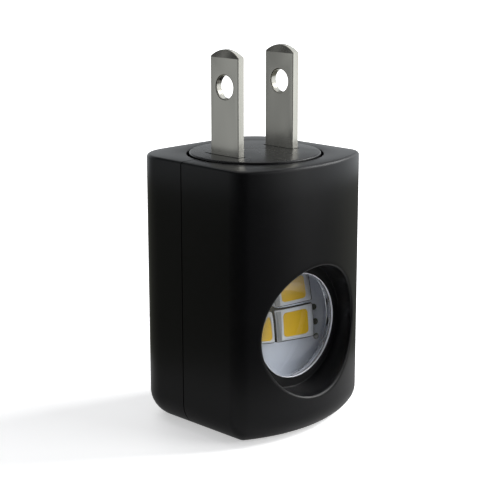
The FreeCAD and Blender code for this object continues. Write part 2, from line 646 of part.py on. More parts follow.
def smoothing_capacitor():
    """A round can with a crimped neck, lying against the driver board."""
    y = DRIVER_BACK + CAN_RADIUS
    neck = CAN_RADIUS - CAN_CRIMP_DEPTH
    crimp = CAN_CRIMP_HEIGHT
    chip_foot = CHIP_Z - CHIP_SIZE[2] / 2 - PIN_LENGTH
    top = chip_foot - CAN_TOP_GAP - CAN_BOTTOM
    lip = CAN_PLUG_HEIGHT
    profile = [(0, 0), (CAN_RADIUS, 0), (CAN_RADIUS, crimp - lip), (neck, crimp), (CAN_RADIUS, crimp + lip),
               (CAN_RADIUS, top - lip), (CAN_RADIUS - lip, top), (0, top)]
    wire = Part.makePolygon([point(CAN_X + r, y, CAN_BOTTOM + z) for r, z in profile + profile[:1]])
    return Part.Face(wire).revolve(point(CAN_X, y, 0), Z_AXIS, 360)


def chip_with_pins(size, x, z, pins):
    """A moulded chip on the driver board with a row of flat pins above and below."""
    width, depth, height = size
    case = face_box(x, DRIVER_BACK, z, width, depth, height)
    case = case.makeChamfer(depth * CHIP_CHAMFER_SHARE, [edge for edge in edges_along(case, X_AXIS)
                                        if edge.BoundBox.YMin > DRIVER_BACK + depth / 2])
    pitch = width / pins
    feet = []
    for number in range(pins):
        pin_x = x + (number - (pins - 1) / 2) * pitch
        feet.append(face_box(pin_x, DRIVER_BACK, z, PIN_WIDTH, PIN_THICKNESS, height + 2 * PIN_LENGTH))
    return case.fuse(feet).removeSplitter()


def resistor(radius, length, x, z):
    """A round resistor with swollen ends, standing off the driver board on its two legs."""
    y = DRIVER_BACK + RESISTOR_STAND + radius
    waist = radius * RESISTOR_WAIST
    cap = length * RESISTOR_CAP
    half = length / 2
    lead = RESISTOR_LEAD_RADIUS
    reach = half + RESISTOR_LEAD_REACH
    profile = [(-reach, 0), (-reach, lead), (-half, lead), (-half, radius), (cap - half, radius),
               (cap - half + radius - waist, waist), (half - cap - radius + waist, waist),
               (half - cap, radius), (half, radius), (half, lead), (reach, lead), (reach, 0)]
    wire = Part.makePolygon([point(x + along, y + out, z) for along, out in profile + profile[:1]])
    body = Part.Face(wire).revolve(point(x, y, z), X_AXIS, 360)
    legs = [window_cylinder(lead, DRIVER_BACK, y + lead, x + side * (reach - lead), z) for side in (-1, 1)]
    return body.fuse(legs).removeSplitter()


def mains_lead(x):
    """A lead from the underside of the contact deck to the driver board."""
    route = [point(x, LEAD_Y, DECK_UNDERSIDE), point(x, LEAD_Y, LEAD_BOARD_Z),
             point(x, DRIVER_BACK, LEAD_BOARD_Z)]
    return lead_wire(route, LEAD_RADIUS, LEAD_BEND_RADIUS)


def link_pins():
    """The two straight pins that join the light board to the driver board."""
    return Part.makeCompound([
        window_cylinder(LINK_PIN_RADIUS, LED_BOARD_BACK, DRIVER_BOARD_FRONT, x, LINK_PIN_Z)
        for x in (-LINK_PIN_X, LINK_PIN_X)])


def build_parts():
    body = shell_body()
    parts = {
        "front_shell": front_shell(body),
        "rear_shell": rear_shell(body),
        "plug_disc": plug_disc(),
        "blade_left": blade(-1),
        "blade_right": blade(1),
        "blade_clamp": blade_clamp(),
        "clamp_screws": clamp_screws(),
        "outer_contact": outer_contact(),
        "centre_contact": centre_contact(),
        "contact_deck": contact_deck(),
        "outer_wiper": outer_wiper(),
        "centre_wiper": wiper(0, CENTRE_WIPER_WIDTH),
        "lens": lens(),
        "lens_barrel": lens_barrel(),
        "led_board": led_board(),
        "driver_board": board(DRIVER_BOARD_FRONT, DRIVER_BOARD_THICKNESS),
        "film_capacitor": film_capacitor(),
        "smoothing_capacitor": smoothing_capacitor(),
        "bridge_rectifier": chip_with_pins(BRIDGE_SIZE, FILM_CAP_X, BOARD_TOP - BRIDGE_DROP, 2),
        "driver_chip": chip_with_pins(CHIP_SIZE, CAN_X, CHIP_Z, 4),
        "fusible_resistor": resistor(FUSIBLE_RADIUS, FUSIBLE_LENGTH, FILM_CAP_X, FUSIBLE_Z),
        "bleed_resistor": resistor(BLEED_RADIUS, BLEED_LENGTH, BLEED_X, BOARD_TOP - BLEED_DROP),
        "live_lead": mains_lead(-(OUTER_CONTACT_RADIUS + OUTER_CONTACT_BORE) / 2),
        "neutral_lead": mains_lead(BLADE_SPACING / 2),
        "link_pins": link_pins(),
    }
    for number, (x, z) in enumerate(led_places(), start=1):
        parts["led_package_%d" % number] = led_package(x, z)
        parts["led_phosphor_%d" % number] = phosphor_fill(x, z)
    return parts


os.makedirs("parts", exist_ok=True)
for name, shape in build_parts().items():
    shape.exportStep("parts/%s.step" % name)
    print(name, len(shape.Solids), "solids, valid", shape.isValid(), "volume", round(shape.Volume, 2))
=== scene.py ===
import logging
import math
from dataclasses import dataclass, field
from enum import Enum

import bmesh
import bpy
import numpy as np
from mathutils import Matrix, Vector
from mathutils.geometry import delaunay_2d_cdt


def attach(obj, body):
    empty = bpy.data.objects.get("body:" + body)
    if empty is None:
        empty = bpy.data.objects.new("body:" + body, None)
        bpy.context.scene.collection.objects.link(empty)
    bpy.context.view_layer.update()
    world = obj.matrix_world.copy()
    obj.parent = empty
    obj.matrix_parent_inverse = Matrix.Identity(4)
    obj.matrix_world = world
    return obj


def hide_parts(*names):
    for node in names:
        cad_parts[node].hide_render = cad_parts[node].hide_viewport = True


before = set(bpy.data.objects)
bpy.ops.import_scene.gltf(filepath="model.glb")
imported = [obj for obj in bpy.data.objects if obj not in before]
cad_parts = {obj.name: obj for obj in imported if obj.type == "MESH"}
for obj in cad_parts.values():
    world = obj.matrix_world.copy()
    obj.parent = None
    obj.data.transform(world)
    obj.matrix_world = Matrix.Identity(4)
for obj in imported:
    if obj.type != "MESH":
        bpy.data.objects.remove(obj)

LOG = logging.getLogger("night_light")
MM = 0.001
LENS_Z = 17.6
BOARD_Y = -1.9
ROUND_COLUMNS = 192
TUBE_COLUMNS = 160

Pair = tuple[float, float]
Triple = tuple[float, float, float]


class Body(Enum):
    """The two rigid bodies of the object."""

    HOUSING = "housing"
    PLUG = "plug"


class Half(Enum):
    """The two moulded shells, by the direction along Y in which each one lies."""

    FRONT = -1
    REAR = 1


def to_linear(code: str) -> tuple[float, float, float, float]:
    """Turns an sRGB colour into linear light.

    Args:
        code: the colour as six hexadecimal digits after a hash.
    Returns:
        Linear red, green, blue and a full alpha.
    """
    values = [int(code[place:place + 2], 16) / 255 for place in (1, 3, 5)]
    return (*[v / 12.92 if v <= 0.04045 else ((v + 0.055) / 1.055) ** 2.4 for v in values], 1.0)


def add_node(tree: bpy.types.NodeTree, kind: str, links: dict | None = None,
             **settings: object) -> bpy.types.Node:
    """Adds one shader node.

    Args:
        tree: the node tree to add to.
        kind: the node's type name after ShaderNode.
        links: socket name or number to a value, or to an output socket to link from.
        settings: the node's own properties.
    Returns:
        The new node.
    """
    node = tree.nodes.new("ShaderNode" + kind)
    for key, value in settings.items():
        setattr(node, key, value)
    for key, value in (links or {}).items():
        if isinstance(value, bpy.types.NodeSocket):
            tree.links.new(value, node.inputs[key])
        else:
            node.inputs[key].default_value = value
    return node


def new_material(name: str) -> tuple[bpy.types.Material, bpy.types.NodeTree]:
    """Makes an empty node material.

    Args:
        name: the material's name.
    Returns:
        The material and its node tree.
    """
    material = bpy.data.materials.new(name)
    material.use_nodes = True
    material.node_tree.nodes.clear()
    return material, material.node_tree


@dataclass(frozen=True)
class Finish:
    """A surface with two close colours, an uneven gloss and a fine grain, in real millimetres.

    A real mould or rolling grain of 0.02 to 0.05 mm is too fine to show in the render, so the grain is drawn
    0.08 to 0.3 mm wide.
    """

    name: str
    slot: str
    colour: str
    second: str
    roughness: float
    uneven: float = 0.06
    metallic: float = 0.0
    specular: float = 0.5
    coat: float = 0.0
    coat_roughness: float = 0.1
    patch_mm: float = 3.0
    patch_detail: Pair = (4.0, 0.6)
    patch_range: Pair = (0.3, 0.7)
    grain_mm: float = 0.12
    grain_detail: Pair = (3.0, 0.65)
    grain_height_mm: float = 0.004
    stretch: Triple = (1.0, 1.0, 1.0)

    def build(self) -> bpy.types.Material:
        """Builds the material.

        Patches of noise mix the two colours and move the roughness, and a finer noise gives the bump.

        Returns:
            The material, which reads Object coordinates.
        """
        material, tree = new_material(self.name)
        place = add_node(tree, "TexCoord").outputs["Object"]
        place = add_node(tree, "Mapping", {"Vector": place, "Scale": self.stretch}).outputs["Vector"]
        patch, grain = (
            add_node(tree, "TexNoise", {"Vector": place, "Scale": 1 / (size * MM), "Detail": detail[0],
                                        "Roughness": detail[1]}).outputs["Fac"]
            for size, detail in ((self.patch_mm, self.patch_detail), (self.grain_mm, self.grain_detail)))
        colour = add_node(tree, "MixRGB", {"Fac": patch, "Color1": to_linear(self.colour),
                                           "Color2": to_linear(self.second)})
        gloss = add_node(tree, "MapRange", {"Value": patch, "From Min": self.patch_range[0],
                                            "From Max": self.patch_range[1],
                                            "To Min": self.roughness - self.uneven,
                                            "To Max": self.roughness + self.uneven})
        bump = add_node(tree, "Bump", {"Height": grain, "Strength": 1.0,
                                       "Distance": self.grain_height_mm * MM})
        shader = add_node(tree, "BsdfPrincipled", {
            "Base Color": colour.outputs["Color"], "Roughness": gloss.outputs["Result"],
            "Normal": bump.outputs["Normal"], "Metallic": self.metallic, "Specular IOR Level": self.specular,
            "Coat Weight": self.coat, "Coat Roughness": self.coat_roughness})
        add_node(tree, "OutputMaterial", {"Surface": shader.outputs["BSDF"]})
        return material


@dataclass(frozen=True)
class ClearFinish:
    """A clear moulded plastic that lamps shine through."""

    name: str
    slot: str
    colour: str
    shadow_tint: str
    roughness: float
    uneven: float = 0.01
    wave_mm: float = 4.54545
    index: float = 1.49
    specular: float = 0.3

    def build(self) -> bpy.types.Material:
        """Builds the material.

        Returns:
            A bending shader, swapped for a see-through one on rays from lamps.
        """
        material, tree = new_material(self.name)
        place = add_node(tree, "TexCoord").outputs["Object"]
        wave = add_node(tree, "TexNoise", {"Vector": place, "Scale": 1 / (self.wave_mm * MM), "Detail": 1.0})
        gloss = add_node(tree, "MapRange", {"Value": wave.outputs["Fac"], "To Min": self.roughness,
                                            "To Max": self.roughness + self.uneven})
        shader = add_node(tree, "BsdfPrincipled", {
            "Base Color": to_linear(self.colour), "Roughness": gloss.outputs["Result"],
            "Specular IOR Level": self.specular, "Transmission Weight": 1.0, "IOR": self.index})
        clear = add_node(tree, "BsdfTransparent", {"Color": to_linear(self.shadow_tint)})
        path = add_node(tree, "LightPath")
        mix = add_node(tree, "MixShader", {0: path.outputs["Is Shadow Ray"], 1: shader.outputs["BSDF"],
                                           2: clear.outputs["BSDF"]})
        add_node(tree, "OutputMaterial", {"Surface": mix.outputs["Shader"]})
        return material


# ABS moulded in a polished tool: near black, with a clear, slightly soft mirror image and hardly any grain.
POLISHED_ABS = Finish("polished_abs", "housing_black", "#08080a", "#0c0c0e", 0.30, uneven=0.01,
                      specular=0.33, patch_mm=9.0, grain_mm=0.16, grain_height_mm=0.0015)
# Nylon moulded in a blasted tool: black, and the lamps spread into one soft sheen.
MOULDED_NYLON = Finish("moulded_nylon", "disc_black", "#09090a", "#0e0e10", 0.28, uneven=0.03, specular=0.45,
                       patch_mm=6.0, grain_mm=0.16, grain_height_mm=0.003)
# Nickel plate on rolled brass: a pale, slightly warm mirror with faint streaks along the blade.
NICKEL_PLATE = Finish("nickel_plate", "blade_nickel", "#c9c6bc", "#cfccc3", 0.2, uneven=0.03, metallic=1.0,
                      patch_mm=1.6, grain_mm=0.2, grain_height_mm=0.0006, stretch=(1.0, 1.0, 0.15))
# Pressed phenolic resin: dark grey and dull.
PRESSED_PHENOLIC = Finish("pressed_phenolic", "insulator_black", "#161618", "#1d1d20", 0.5)
# Zinc-plated steel: a mid grey metal with small cloudy patches.
ZINC_PLATE = Finish("zinc_plate", "screw_steel", "#9a9a98", "#a9a9a6", 0.32, metallic=1.0, patch_mm=0.8)
# Stamped brass: yellow metal with a soft shine.
STAMPED_BRASS = Finish("stamped_brass", "contact_brass", "#c9a557", "#d2b26a", 0.3, metallic=1.0,
                       patch_mm=1.5)
# Rolled phosphor bronze: a redder, springy metal with a soft shine.
ROLLED_BRONZE = Finish("rolled_bronze", "wiper_bronze", "#b98a5c", "#c4976a", 0.3, metallic=1.0,
                       patch_mm=1.2)
# Polypropylene moulded white: a soft pale tube that fills the lens with light.
MOULDED_POLYPROPYLENE = Finish("moulded_polypropylene", "barrel_white", "#c9cacd", "#d2d3d6", 0.5,
                               patch_mm=4.0)
# White solder mask, printed and cured on the board: cool white, even, with a faint shine. The pale filler of
# painted light between the diodes wears it too.
WHITE_MASK = Finish("white_mask", "board_white", "#d3d9ea", "#dadfee", 0.45, specular=0.3, patch_mm=5.0,
                    grain_mm=0.3, grain_height_mm=0.002)
# Green solder mask over glass cloth: dark green under a thin clear coat.
GREEN_MASK = Finish("green_mask", "board_green", "#1f4a31", "#27563a", 0.4, patch_mm=2.0, coat=0.4)
# Polyester moulded as a capacitor's case: mustard yellow and half shiny.
MOULDED_POLYESTER = Finish("moulded_polyester", "film_case", "#c2b23a", "#cdbd4b", 0.42)
# A PVC sleeve shrunk over an aluminium can: dark blue under a clear shine.
SHRUNK_SLEEVE = Finish("shrunk_sleeve", "can_sleeve", "#1b2a4d", "#22335a", 0.35, coat=0.4)
# Epoxy moulded round a chip: dark grey, sandy and dull.
MOULDED_EPOXY = Finish("moulded_epoxy", "chip_black", "#1a1a1a", "#242424", 0.6, grain_mm=0.08,
                       grain_height_mm=0.006)
# Fireproof lacquer on the fusible resistor: cool grey with a low shine.
GREY_LACQUER = Finish("grey_lacquer", "resistor_grey", "#6d7276", "#777c80", 0.45, patch_mm=1.0)
# Dipped lacquer on the film resistor: pale blue and half shiny.
BLUE_LACQUER = Finish("blue_lacquer", "resistor_blue", "#5f87a8", "#6b93b3", 0.35, patch_mm=1.0)
# Extruded PVC on the live lead: black with a low shine.
BLACK_PVC = Finish("black_pvc", "lead_black", "#151515", "#1c1c1c", 0.45)
# Extruded PVC on the neutral lead: warm white with a low shine.
WHITE_PVC = Finish("white_pvc", "lead_white", "#dedcd6", "#e6e4de", 0.45)
# Tin plate on copper pins: a pale grey metal with small patches.
TIN_PLATE = Finish("tin_plate", "pin_tin", "#b5b5b2", "#c2c2bf", 0.3, metallic=1.0, patch_mm=0.6)
# Polyphthalamide moulded white: the diodes' pale, slightly cool body. The pale ring of painted highlight
# before the lens wears it too.
MOULDED_POLYPHTHALAMIDE = Finish("moulded_polyphthalamide", "led_white", "#c9cbd3", "#d2d4dc", 0.42,
                                 patch_mm=1.2, grain_mm=0.1)
# Painted shade for the narrow gap round a diode, where the diode's shadow falls on the board: a dull dark
# line.
PAINTED_GAP_SHADE = Finish("painted_gap_shade", "led_white", "#221f1e", "#2b2827", 0.7, specular=0.2, patch_mm=1.2,
                    grain_mm=0.1)
# Painted shade for a diode's shaded left side wall, laid as a soft grey half-metal strip on the left end of
# its front, with streaks along it.
SIDE_SHADE_TIN = Finish("tin_grey_side_shade", "pin_tin", "#8f9196", "#a0a2a6", 0.45, metallic=0.4, patch_mm=0.3,
                    stretch=(1.0, 1.0, 0.15))
# Painted shade for the dark seen down a plated hole: nearly black, with hardly any shine.
PAINTED_HOLE_SHADE = Finish("painted_hole_shade", "pin_tin", "#121214", "#1a1a1e", 0.7, specular=0.2, patch_mm=0.3)
# Silicone filled with phosphor powder: strong yellow, fine-grained, with a soft uneven shine.
PHOSPHOR_SILICONE = Finish("phosphor_silicone", "phosphor_yellow", "#dcae0c", "#e6ba18", 0.42, specular=0.25,
                           patch_mm=0.7, grain_mm=0.09, grain_height_mm=0.01)
# Acrylic moulded in a polished tool: clear and sharp, with a faint ripple in its shine.
POLISHED_ACRYLIC = ClearFinish("polished_acrylic", "lens_clear", "#ffffff", "#f4f7f6", 0.0)

CAD_FINISHES = {
    "blade_clamp": PRESSED_PHENOLIC, "clamp_screws": ZINC_PLATE, "outer_contact": STAMPED_BRASS,
    "centre_contact": STAMPED_BRASS, "contact_deck": PRESSED_PHENOLIC, "outer_wiper": ROLLED_BRONZE,
    "centre_wiper": ROLLED_BRONZE, "led_board": WHITE_MASK, "driver_board": GREEN_MASK,
    "film_capacitor": MOULDED_POLYESTER, "smoothing_capacitor": SHRUNK_SLEEVE,
    "bridge_rectifier": MOULDED_EPOXY, "driver_chip": MOULDED_EPOXY, "fusible_resistor": GREY_LACQUER,
    "bleed_resistor": BLUE_LACQUER, "live_lead": BLACK_PVC, "neutral_lead": WHITE_PVC,
    "link_pins": TIN_PLATE}


class Palette:
    """Builds each finish once and hands it out."""

    def __init__(self) -> None:
        """Starts with no finish built."""
        self.built: dict[Finish | ClearFinish, bpy.types.Material] = {}

    def get(self, finish: Finish | ClearFinish) -> bpy.types.Material:
        """Gives the material of a finish.

        Args:
            finish: the finish wanted.
        Returns:
            Its material, built on first use.
        """
        if finish not in self.built:
            self.built[finish] = finish.build()
        return self.built[finish]


class Surface:
    """Collects grids of points in millimetres and welds them into one closed mesh."""

    def __init__(self) -> None:
        """Starts with no points and no faces."""
        self.points: list[np.ndarray] = []
        self.faces: list[list[int]] = []
        self.count = 0

    def add(self, points: np.ndarray, faces: np.ndarray) -> None:
        """Adds points and the faces between them.

        Args:
            points: an array of rows of x, y and z.
            faces: rows of point numbers that count from this array's first point.
        """
        self.points.append(points.reshape(-1, 3))
        self.faces.extend((faces + self.count).tolist())
        self.count += points.size // 3

    def grid(self, points: np.ndarray, closed: bool = False) -> None:
        """Adds the quads between neighbouring rows and columns of a grid.

        Args:
            points: rows by columns by x, y and z.
            closed: whether the last column joins the first one.
        """
        rows, columns = points.shape[:2]
        index = np.arange(rows * columns).reshape(rows, columns)
        if closed:
            index = np.hstack([index, index[:, :1]])
        quads = np.stack([index[:-1, :-1], index[:-1, 1:], index[1:, 1:], index[1:, :-1]], axis=-1)
        self.add(points, quads.reshape(-1, 4))

    def strip(self, first: np.ndarray, second: np.ndarray, closed: bool = False) -> None:
        """Adds the band of quads between two lines of equally many points."""
        self.grid(np.stack([first, second]), closed)

    def build(self, name: str, sharp_degrees: float, weld_mm: float = 0.0015) -> bpy.types.Object:
        """Welds the points, turns every face outwards and shades the mesh smooth.

        Args:
            name: the piece's name.
            sharp_degrees: the angle between faces from which an edge stays sharp.
            weld_mm: how far apart points may lie and still become one.
        Returns:
            The object, at the origin.
        """
        mesh = bpy.data.meshes.new(name)
        mesh.from_pydata(np.concatenate(self.points) * MM, [], self.faces)
        work = bmesh.new()
        work.from_mesh(mesh)
        bmesh.ops.remove_doubles(work, verts=work.verts, dist=weld_mm * MM)
        bmesh.ops.recalc_face_normals(work, faces=work.faces)
        work.to_mesh(mesh)
        work.free()
        mesh.polygons.foreach_set("use_smooth", np.ones(len(mesh.polygons), dtype=bool))
        mesh.set_sharp_from_angle(angle=math.radians(sharp_degrees))
        piece = bpy.data.objects.new(name, mesh)
        bpy.context.scene.collection.objects.link(piece)
        return piece


def round_piece(name: str, rings: np.ndarray, sharp_degrees: float) -> bpy.types.Object:
    """Makes a piece of one grid whose last column joins its first one.

    Args:
        name: the piece's name.
        rings: rows by columns by x, y and z.
        sharp_degrees: the angle between faces from which an edge stays sharp.
    Returns:
        The object, at the origin.
    """
    surface = Surface()
    surface.grid(rings, closed=True)
    return surface.build(name, sharp_degrees)


def capped(rings: list[np.ndarray]) -> np.ndarray:
    """Closes both ends of a stack of rings by a row that lies wholly on the end ring's middle.

    Args:
        rings: loops of equally many points.
    Returns:
        A grid of rows by columns by x, y and z.
    """
    ends = [np.repeat(ring.mean(axis=0)[None], len(ring), axis=0) for ring in (rings[0], rings[-1])]
    return np.stack([ends[0], *rings, ends[1]])


def lift(flat: np.ndarray, z: float) -> np.ndarray:
    """Puts rows of x and y at one height."""
    return np.column_stack([flat, np.full(len(flat), z)])


def revolve(profile: np.ndarray, count: int, window_axis: Pair | None = None) -> np.ndarray:
    """Turns a profile of radius and length about an axis.

    A point at radius r and angle a goes to r cos a and r sin a across the axis, and keeps its length.

    Args:
        profile: rows of radius and length.
        count: how many columns go round.
        window_axis: the x and z that a line along Y passes through, or None for the Z axis.
    Returns:
        A grid of rows by columns by x, y and z.
    """
    angle = np.arange(count) * 2 * np.pi / count
    across = profile[:, :1] * np.cos(angle)
    up = profile[:, :1] * np.sin(angle)
    along = np.repeat(profile[:, 1:], count, axis=1)
    if window_axis is None:
        return np.stack([across, up, along], axis=-1)
    return np.stack([across + window_axis[0], along, up + window_axis[1]], axis=-1)


def curve(start: np.ndarray | Pair, corner: np.ndarray | Pair, end: np.ndarray | Pair,
          count: int) -> np.ndarray:
    """A quadratic curve that leaves start towards corner and arrives at end from it.

    With s the share of the way, a point is (1 - s) squared of start, 2 s (1 - s) of corner and s squared of
    end.

    Args:
        start: first point, or a row of first points.
        corner: where the two end tangents meet.
        end: last point.
        count: how many steps the curve has.
    Returns:
        Rows of points from start to end.
    """
    start, corner, end = np.array(start), np.array(corner), np.array(end)
    share = np.linspace(0, 1, count + 1).reshape(-1, *[1] * start.ndim)
    return (1 - share) ** 2 * start + 2 * share * (1 - share) * corner + share ** 2 * end


def inside(points: np.ndarray, loop: np.ndarray) -> np.ndarray:
    """Tells which points lie in a loop, by counting the edges that a ray along the first axis crosses.

    Args:
        points: rows of two coordinates.
        loop: the loop's corners in order.
    Returns:
        One truth value for each point.
    """
    start, end = loop, np.roll(loop, -1, axis=0)
    level = points[:, 1:2]
    crosses = (start[:, 1] > level) != (end[:, 1] > level)
    rise = np.where(end[:, 1] == start[:, 1], 1.0, end[:, 1] - start[:, 1])
    place = start[:, 0] + (level - start[:, 1]) / rise * (end[:, 0] - start[:, 0])
    return (crosses & (points[:, :1] < place)).sum(axis=1) % 2 == 1


def fill_flat(outer: np.ndarray, holes: list[np.ndarray], lines: tuple[np.ndarray, ...] = (),
              same_spot: float = 1e-6) -> tuple[np.ndarray, np.ndarray]:
    """Fills a flat region with triangles that keep its outline, its holes and any lines across it.

    Args:
        outer: the outline's corners.
        holes: the corners of each hole.
        lines: pairs of points that triangle edges have to follow.
        same_spot: how near two points count as one.
    Returns:
        The points and the triangles as rows of point numbers.
    """
    points, edges, start = [], [], 0
    for loop in (outer, *holes):
        number = np.arange(len(loop))
        edges.append(np.stack([number, np.roll(number, -1)], axis=1) + start)
        points.append(loop)
        start += len(loop)
    for line in lines:
        points.append(line)
        edges.append(np.array([[start, start + 1]]))
        start += 2
    points, edges = np.concatenate(points).tolist(), np.concatenate(edges).tolist()
    result = delaunay_2d_cdt(points, edges, [], 1, same_spot)
    spots, triangles = np.array(result[0]), np.array(result[2])
    middle = spots[triangles].mean(axis=1)
    keep = inside(middle, outer)
    for hole in holes:
        keep &= ~inside(middle, hole)
    return spots, triangles[keep]


def offset_loop(loop: np.ndarray, distance: float) -> np.ndarray:
    """Moves a closed loop sideways, to the left of its direction.

    Each corner goes along the sum of its two edges' unit normals, over one plus their dot product.

    Args:
        loop: the loop's corners.
        distance: how far each edge moves.
    Returns:
        The moved corners.
    """
    step = np.roll(loop, -1, axis=0) - loop
    step /= np.linalg.norm(step, axis=1, keepdims=True)
    normal = np.stack([-step[:, 1], step[:, 0]], axis=1)
    before = np.roll(normal, 1, axis=0)
    return loop + distance * (normal + before) / (1 + (normal * before).sum(axis=1, keepdims=True))


def arc_radius(chord: float, rise: float) -> float:
    """The radius of an arc from its chord and its rise."""
    return (chord * chord / 4 + rise * rise) / (2 * rise)


@dataclass
class Piece:
    """A finished piece with the body it rides on, the finish it takes and the nodes it stands for."""

    shape: bpy.types.Object
    body: Body
    finish: Finish | ClearFinish
    nodes: tuple[str, ...] = ()

    def place(self, palette: Palette) -> None:
        """Dresses the piece and tells the frame what it is.

        Args:
            palette: where its material comes from.
        """
        self.shape.data.materials.append(palette.get(self.finish))
        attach(self.shape, self.body.value)
        if self.nodes:
            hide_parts(*self.nodes)


@dataclass
class Window:
    """The round tapered well in the front of the housing, and the lens hole in its floor."""

    centre_z: float = LENS_Z
    rim_radius: float = 10.9
    floor_radius: float = 10.55
    depth: float = 5.25
    floor_thickness: float = 1.65
    hole_radius: float = 8.85
    hole_round: float = 0.12
    rim_round: float = 0.7
    floor_round: float = 0.1
    tube_radius: float = 11.9


@dataclass
class Housing:
    """The two moulded shells, their outline, walls and seam."""

    width: float = 29.3
    depth: float = 29.6
    height: float = 45.4
    front_rise: float = 4.3
    back_rise: float = 0.5
    front_corner: float = 3.3
    back_corner: float = 6.6
    bottom_round: float = 4.5
    top_round: float = 0.6
    least_round: float = 0.02
    side_wall: float = 1.6
    floor_wall: float = 1.8
    top_wall: float = 2.0
    seam_y: float = 2.2
    groove_half: float = 0.1
    groove_depth: float = 0.45
    opening_radius: float = 11.4
    opening_round: float = 0.12
    window: Window = field(default_factory=Window)
    window_margin: float = 12.6
    rows_above_window: Pair = (35.0, 40.0)
    side_steps: int = 6
    corner_steps: int = 16
    arc_steps: int = 64
    window_steps: int = 56
    bottom_steps: int = 18
    round_steps: int = 8
    opening_steps: int = 4
    inner_patch_steps: int = 3
    taper_rounds: int = 4

    def arc(self, half: Half, inset: float) -> Pair:
        """Works out the arc of an end face.

        Args:
            half: which shell.
            inset: how far the arc is drawn in.
        Returns:
            The y of its centre, and its radius.
        """
        rise = self.front_rise if half is Half.FRONT else self.back_rise
        radius = arc_radius(self.width, rise)
        return half.value * (self.depth / 2 - radius), radius - inset

    def plan(self, half: Half, inset: float) -> np.ndarray:
        """Half of the housing's outline seen from above, from the left seam to the right one.

        A side is a straight line, a corner an arc about its own centre, and the end an arc about a centre on
        the Y axis. Where the inset is more than the corner radius, the corner shrinks to the point where the
        drawn-in side and end meet.

        Args:
            half: which shell.
            inset: how far the outline is drawn in.
        Returns:
            Rows of x and y, the same number for every inset. The first two lie on the seam and at the
            groove's edge.
        """
        way = half.value
        corner = self.front_corner if half is Half.FRONT else self.back_corner
        centre_y, radius = self.arc(half, 0)
        pull = max(corner, inset)
        side = self.width / 2 - pull
        turn = math.asin(side / (radius - pull))
        corner_y = centre_y + way * math.sqrt((radius - pull) ** 2 - side ** 2)
        start = self.seam_y + way * self.groove_half
        run = np.append(self.seam_y, np.linspace(start, corner_y, self.side_steps + 1))
        straight = np.stack([np.full_like(run, inset - self.width / 2), run], axis=1)
        angle = np.linspace(0, np.pi / 2 - turn, self.corner_steps + 1)[1:-1]
        round_radius = pull - inset
        bend = np.stack([-side - round_radius * np.cos(angle),
                         corner_y + way * round_radius * np.sin(angle)], axis=1)
        swing = np.linspace(-turn, turn, self.arc_steps + 1)
        end = np.stack([(radius - inset) * np.sin(swing), centre_y + way * (radius - inset) * np.cos(swing)],
                       axis=1)
        left = np.concatenate([straight, bend])
        return np.concatenate([left, end, left[::-1] * (-1, 1)])

    def opening(self, half: Half, radius: float) -> np.ndarray:
        """The disc opening's edge, with a point for every column of the plan.

        The columns on the seam and at the groove's edge keep their y, and those between share out the angle
        as the outline does.

        Args:
            half: which shell.
            radius: the circle's radius.
        Returns:
            Rows of x and y.
        """
        way = half.value
        outline = self.plan(half, self.top_round)
        ends = np.array([self.seam_y, self.seam_y + way * self.groove_half])
        across = np.sqrt(radius ** 2 - ends ** 2)
        bearing = np.arctan2(outline[:, 0], way * outline[:, 1])
        bearing *= math.atan2(-across[1], way * ends[1]) / bearing[1]
        circle = np.stack([radius * np.sin(bearing), way * radius * np.cos(bearing)], axis=1)
        circle[:2] = np.stack([-across, ends], axis=1)
        circle[-2:] = np.stack([across, ends], axis=1)[::-1]
        return circle

    def draw_in(self, inset: float, floor: float, ceiling: float) -> np.ndarray:
        """How far each row of a skin is drawn in, and its height, from the bottom's edge to the top's.

        The bottom and top edges are quarter circles of inset against height, and the rows between them
        follow the window.

        Args:
            inset: how far inside the outer side face the skin lies.
            floor: the height of its bottom.
            ceiling: the height of its top.
        Returns:
            Rows of inset and height.
        """
        low_round = self.bottom_round - inset
        high_round = max(self.top_round - inset, self.least_round)
        turn = np.linspace(0, np.pi / 2, self.bottom_steps + 1)
        bottom = np.stack([inset + low_round * (1 - np.sin(turn)),
                           floor + low_round * (1 - np.cos(turn))], axis=1)
        low = self.window.centre_z - self.window_margin
        high = self.window.centre_z + self.window_margin
        heights = np.append(np.linspace(low, high, self.window_steps + 1), self.rows_above_window)
        side = np.stack([np.full_like(heights, inset), heights], axis=1)
        turn = np.linspace(0, np.pi / 2, self.round_steps + 1)
        top = np.stack([inset + high_round * (1 - np.cos(turn)),
                        ceiling - high_round * (1 - np.sin(turn))], axis=1)
        return np.concatenate([bottom, side, top])

    def skin(self, half: Half, inset: float, floor: float, top: float, pole_y: np.ndarray | float,
             edge_round: float = 0.0) -> np.ndarray:
        """One surface of a shell, from the middle of the bottom to the disc opening.

        Each row is the plan drawn in by a distance, at a height, and flat rows blend in a straight line to
        the bottom's middle and to the opening, whose edge is a quarter circle of radius against height.

        Args:
            half: which shell.
            inset: how far inside the outer side face it lies.
            floor: how far above the bottom face.
            top: how far below the top face.
            pole_y: the y of the bottom's middle point, for all columns or for each.
            edge_round: the rounding of the opening's upper edge.
        Returns:
            Rows by columns by x, y and z.
        """
        ceiling = self.height - top
        rows = [lift(self.plan(half, draw), z) for draw, z in self.draw_in(inset, floor, ceiling)]
        pole = rows[0] * (0, 0, 1)
        pole[:, 1] = pole_y
        rows = [pole, (pole + rows[0]) / 2, *rows]
        rim = lift(self.opening(half, self.opening_radius + self.opening_round), ceiling)
        rows.append((rows[-1] + rim) / 2)
        for turn in np.linspace(0, np.pi / 2, self.opening_steps + 1):
            radius = self.opening_radius + self.opening_round * (1 - math.sin(turn))
            rows.append(lift(self.opening(half, radius), ceiling - edge_round * (1 - math.cos(turn))))
        return np.stack(rows)

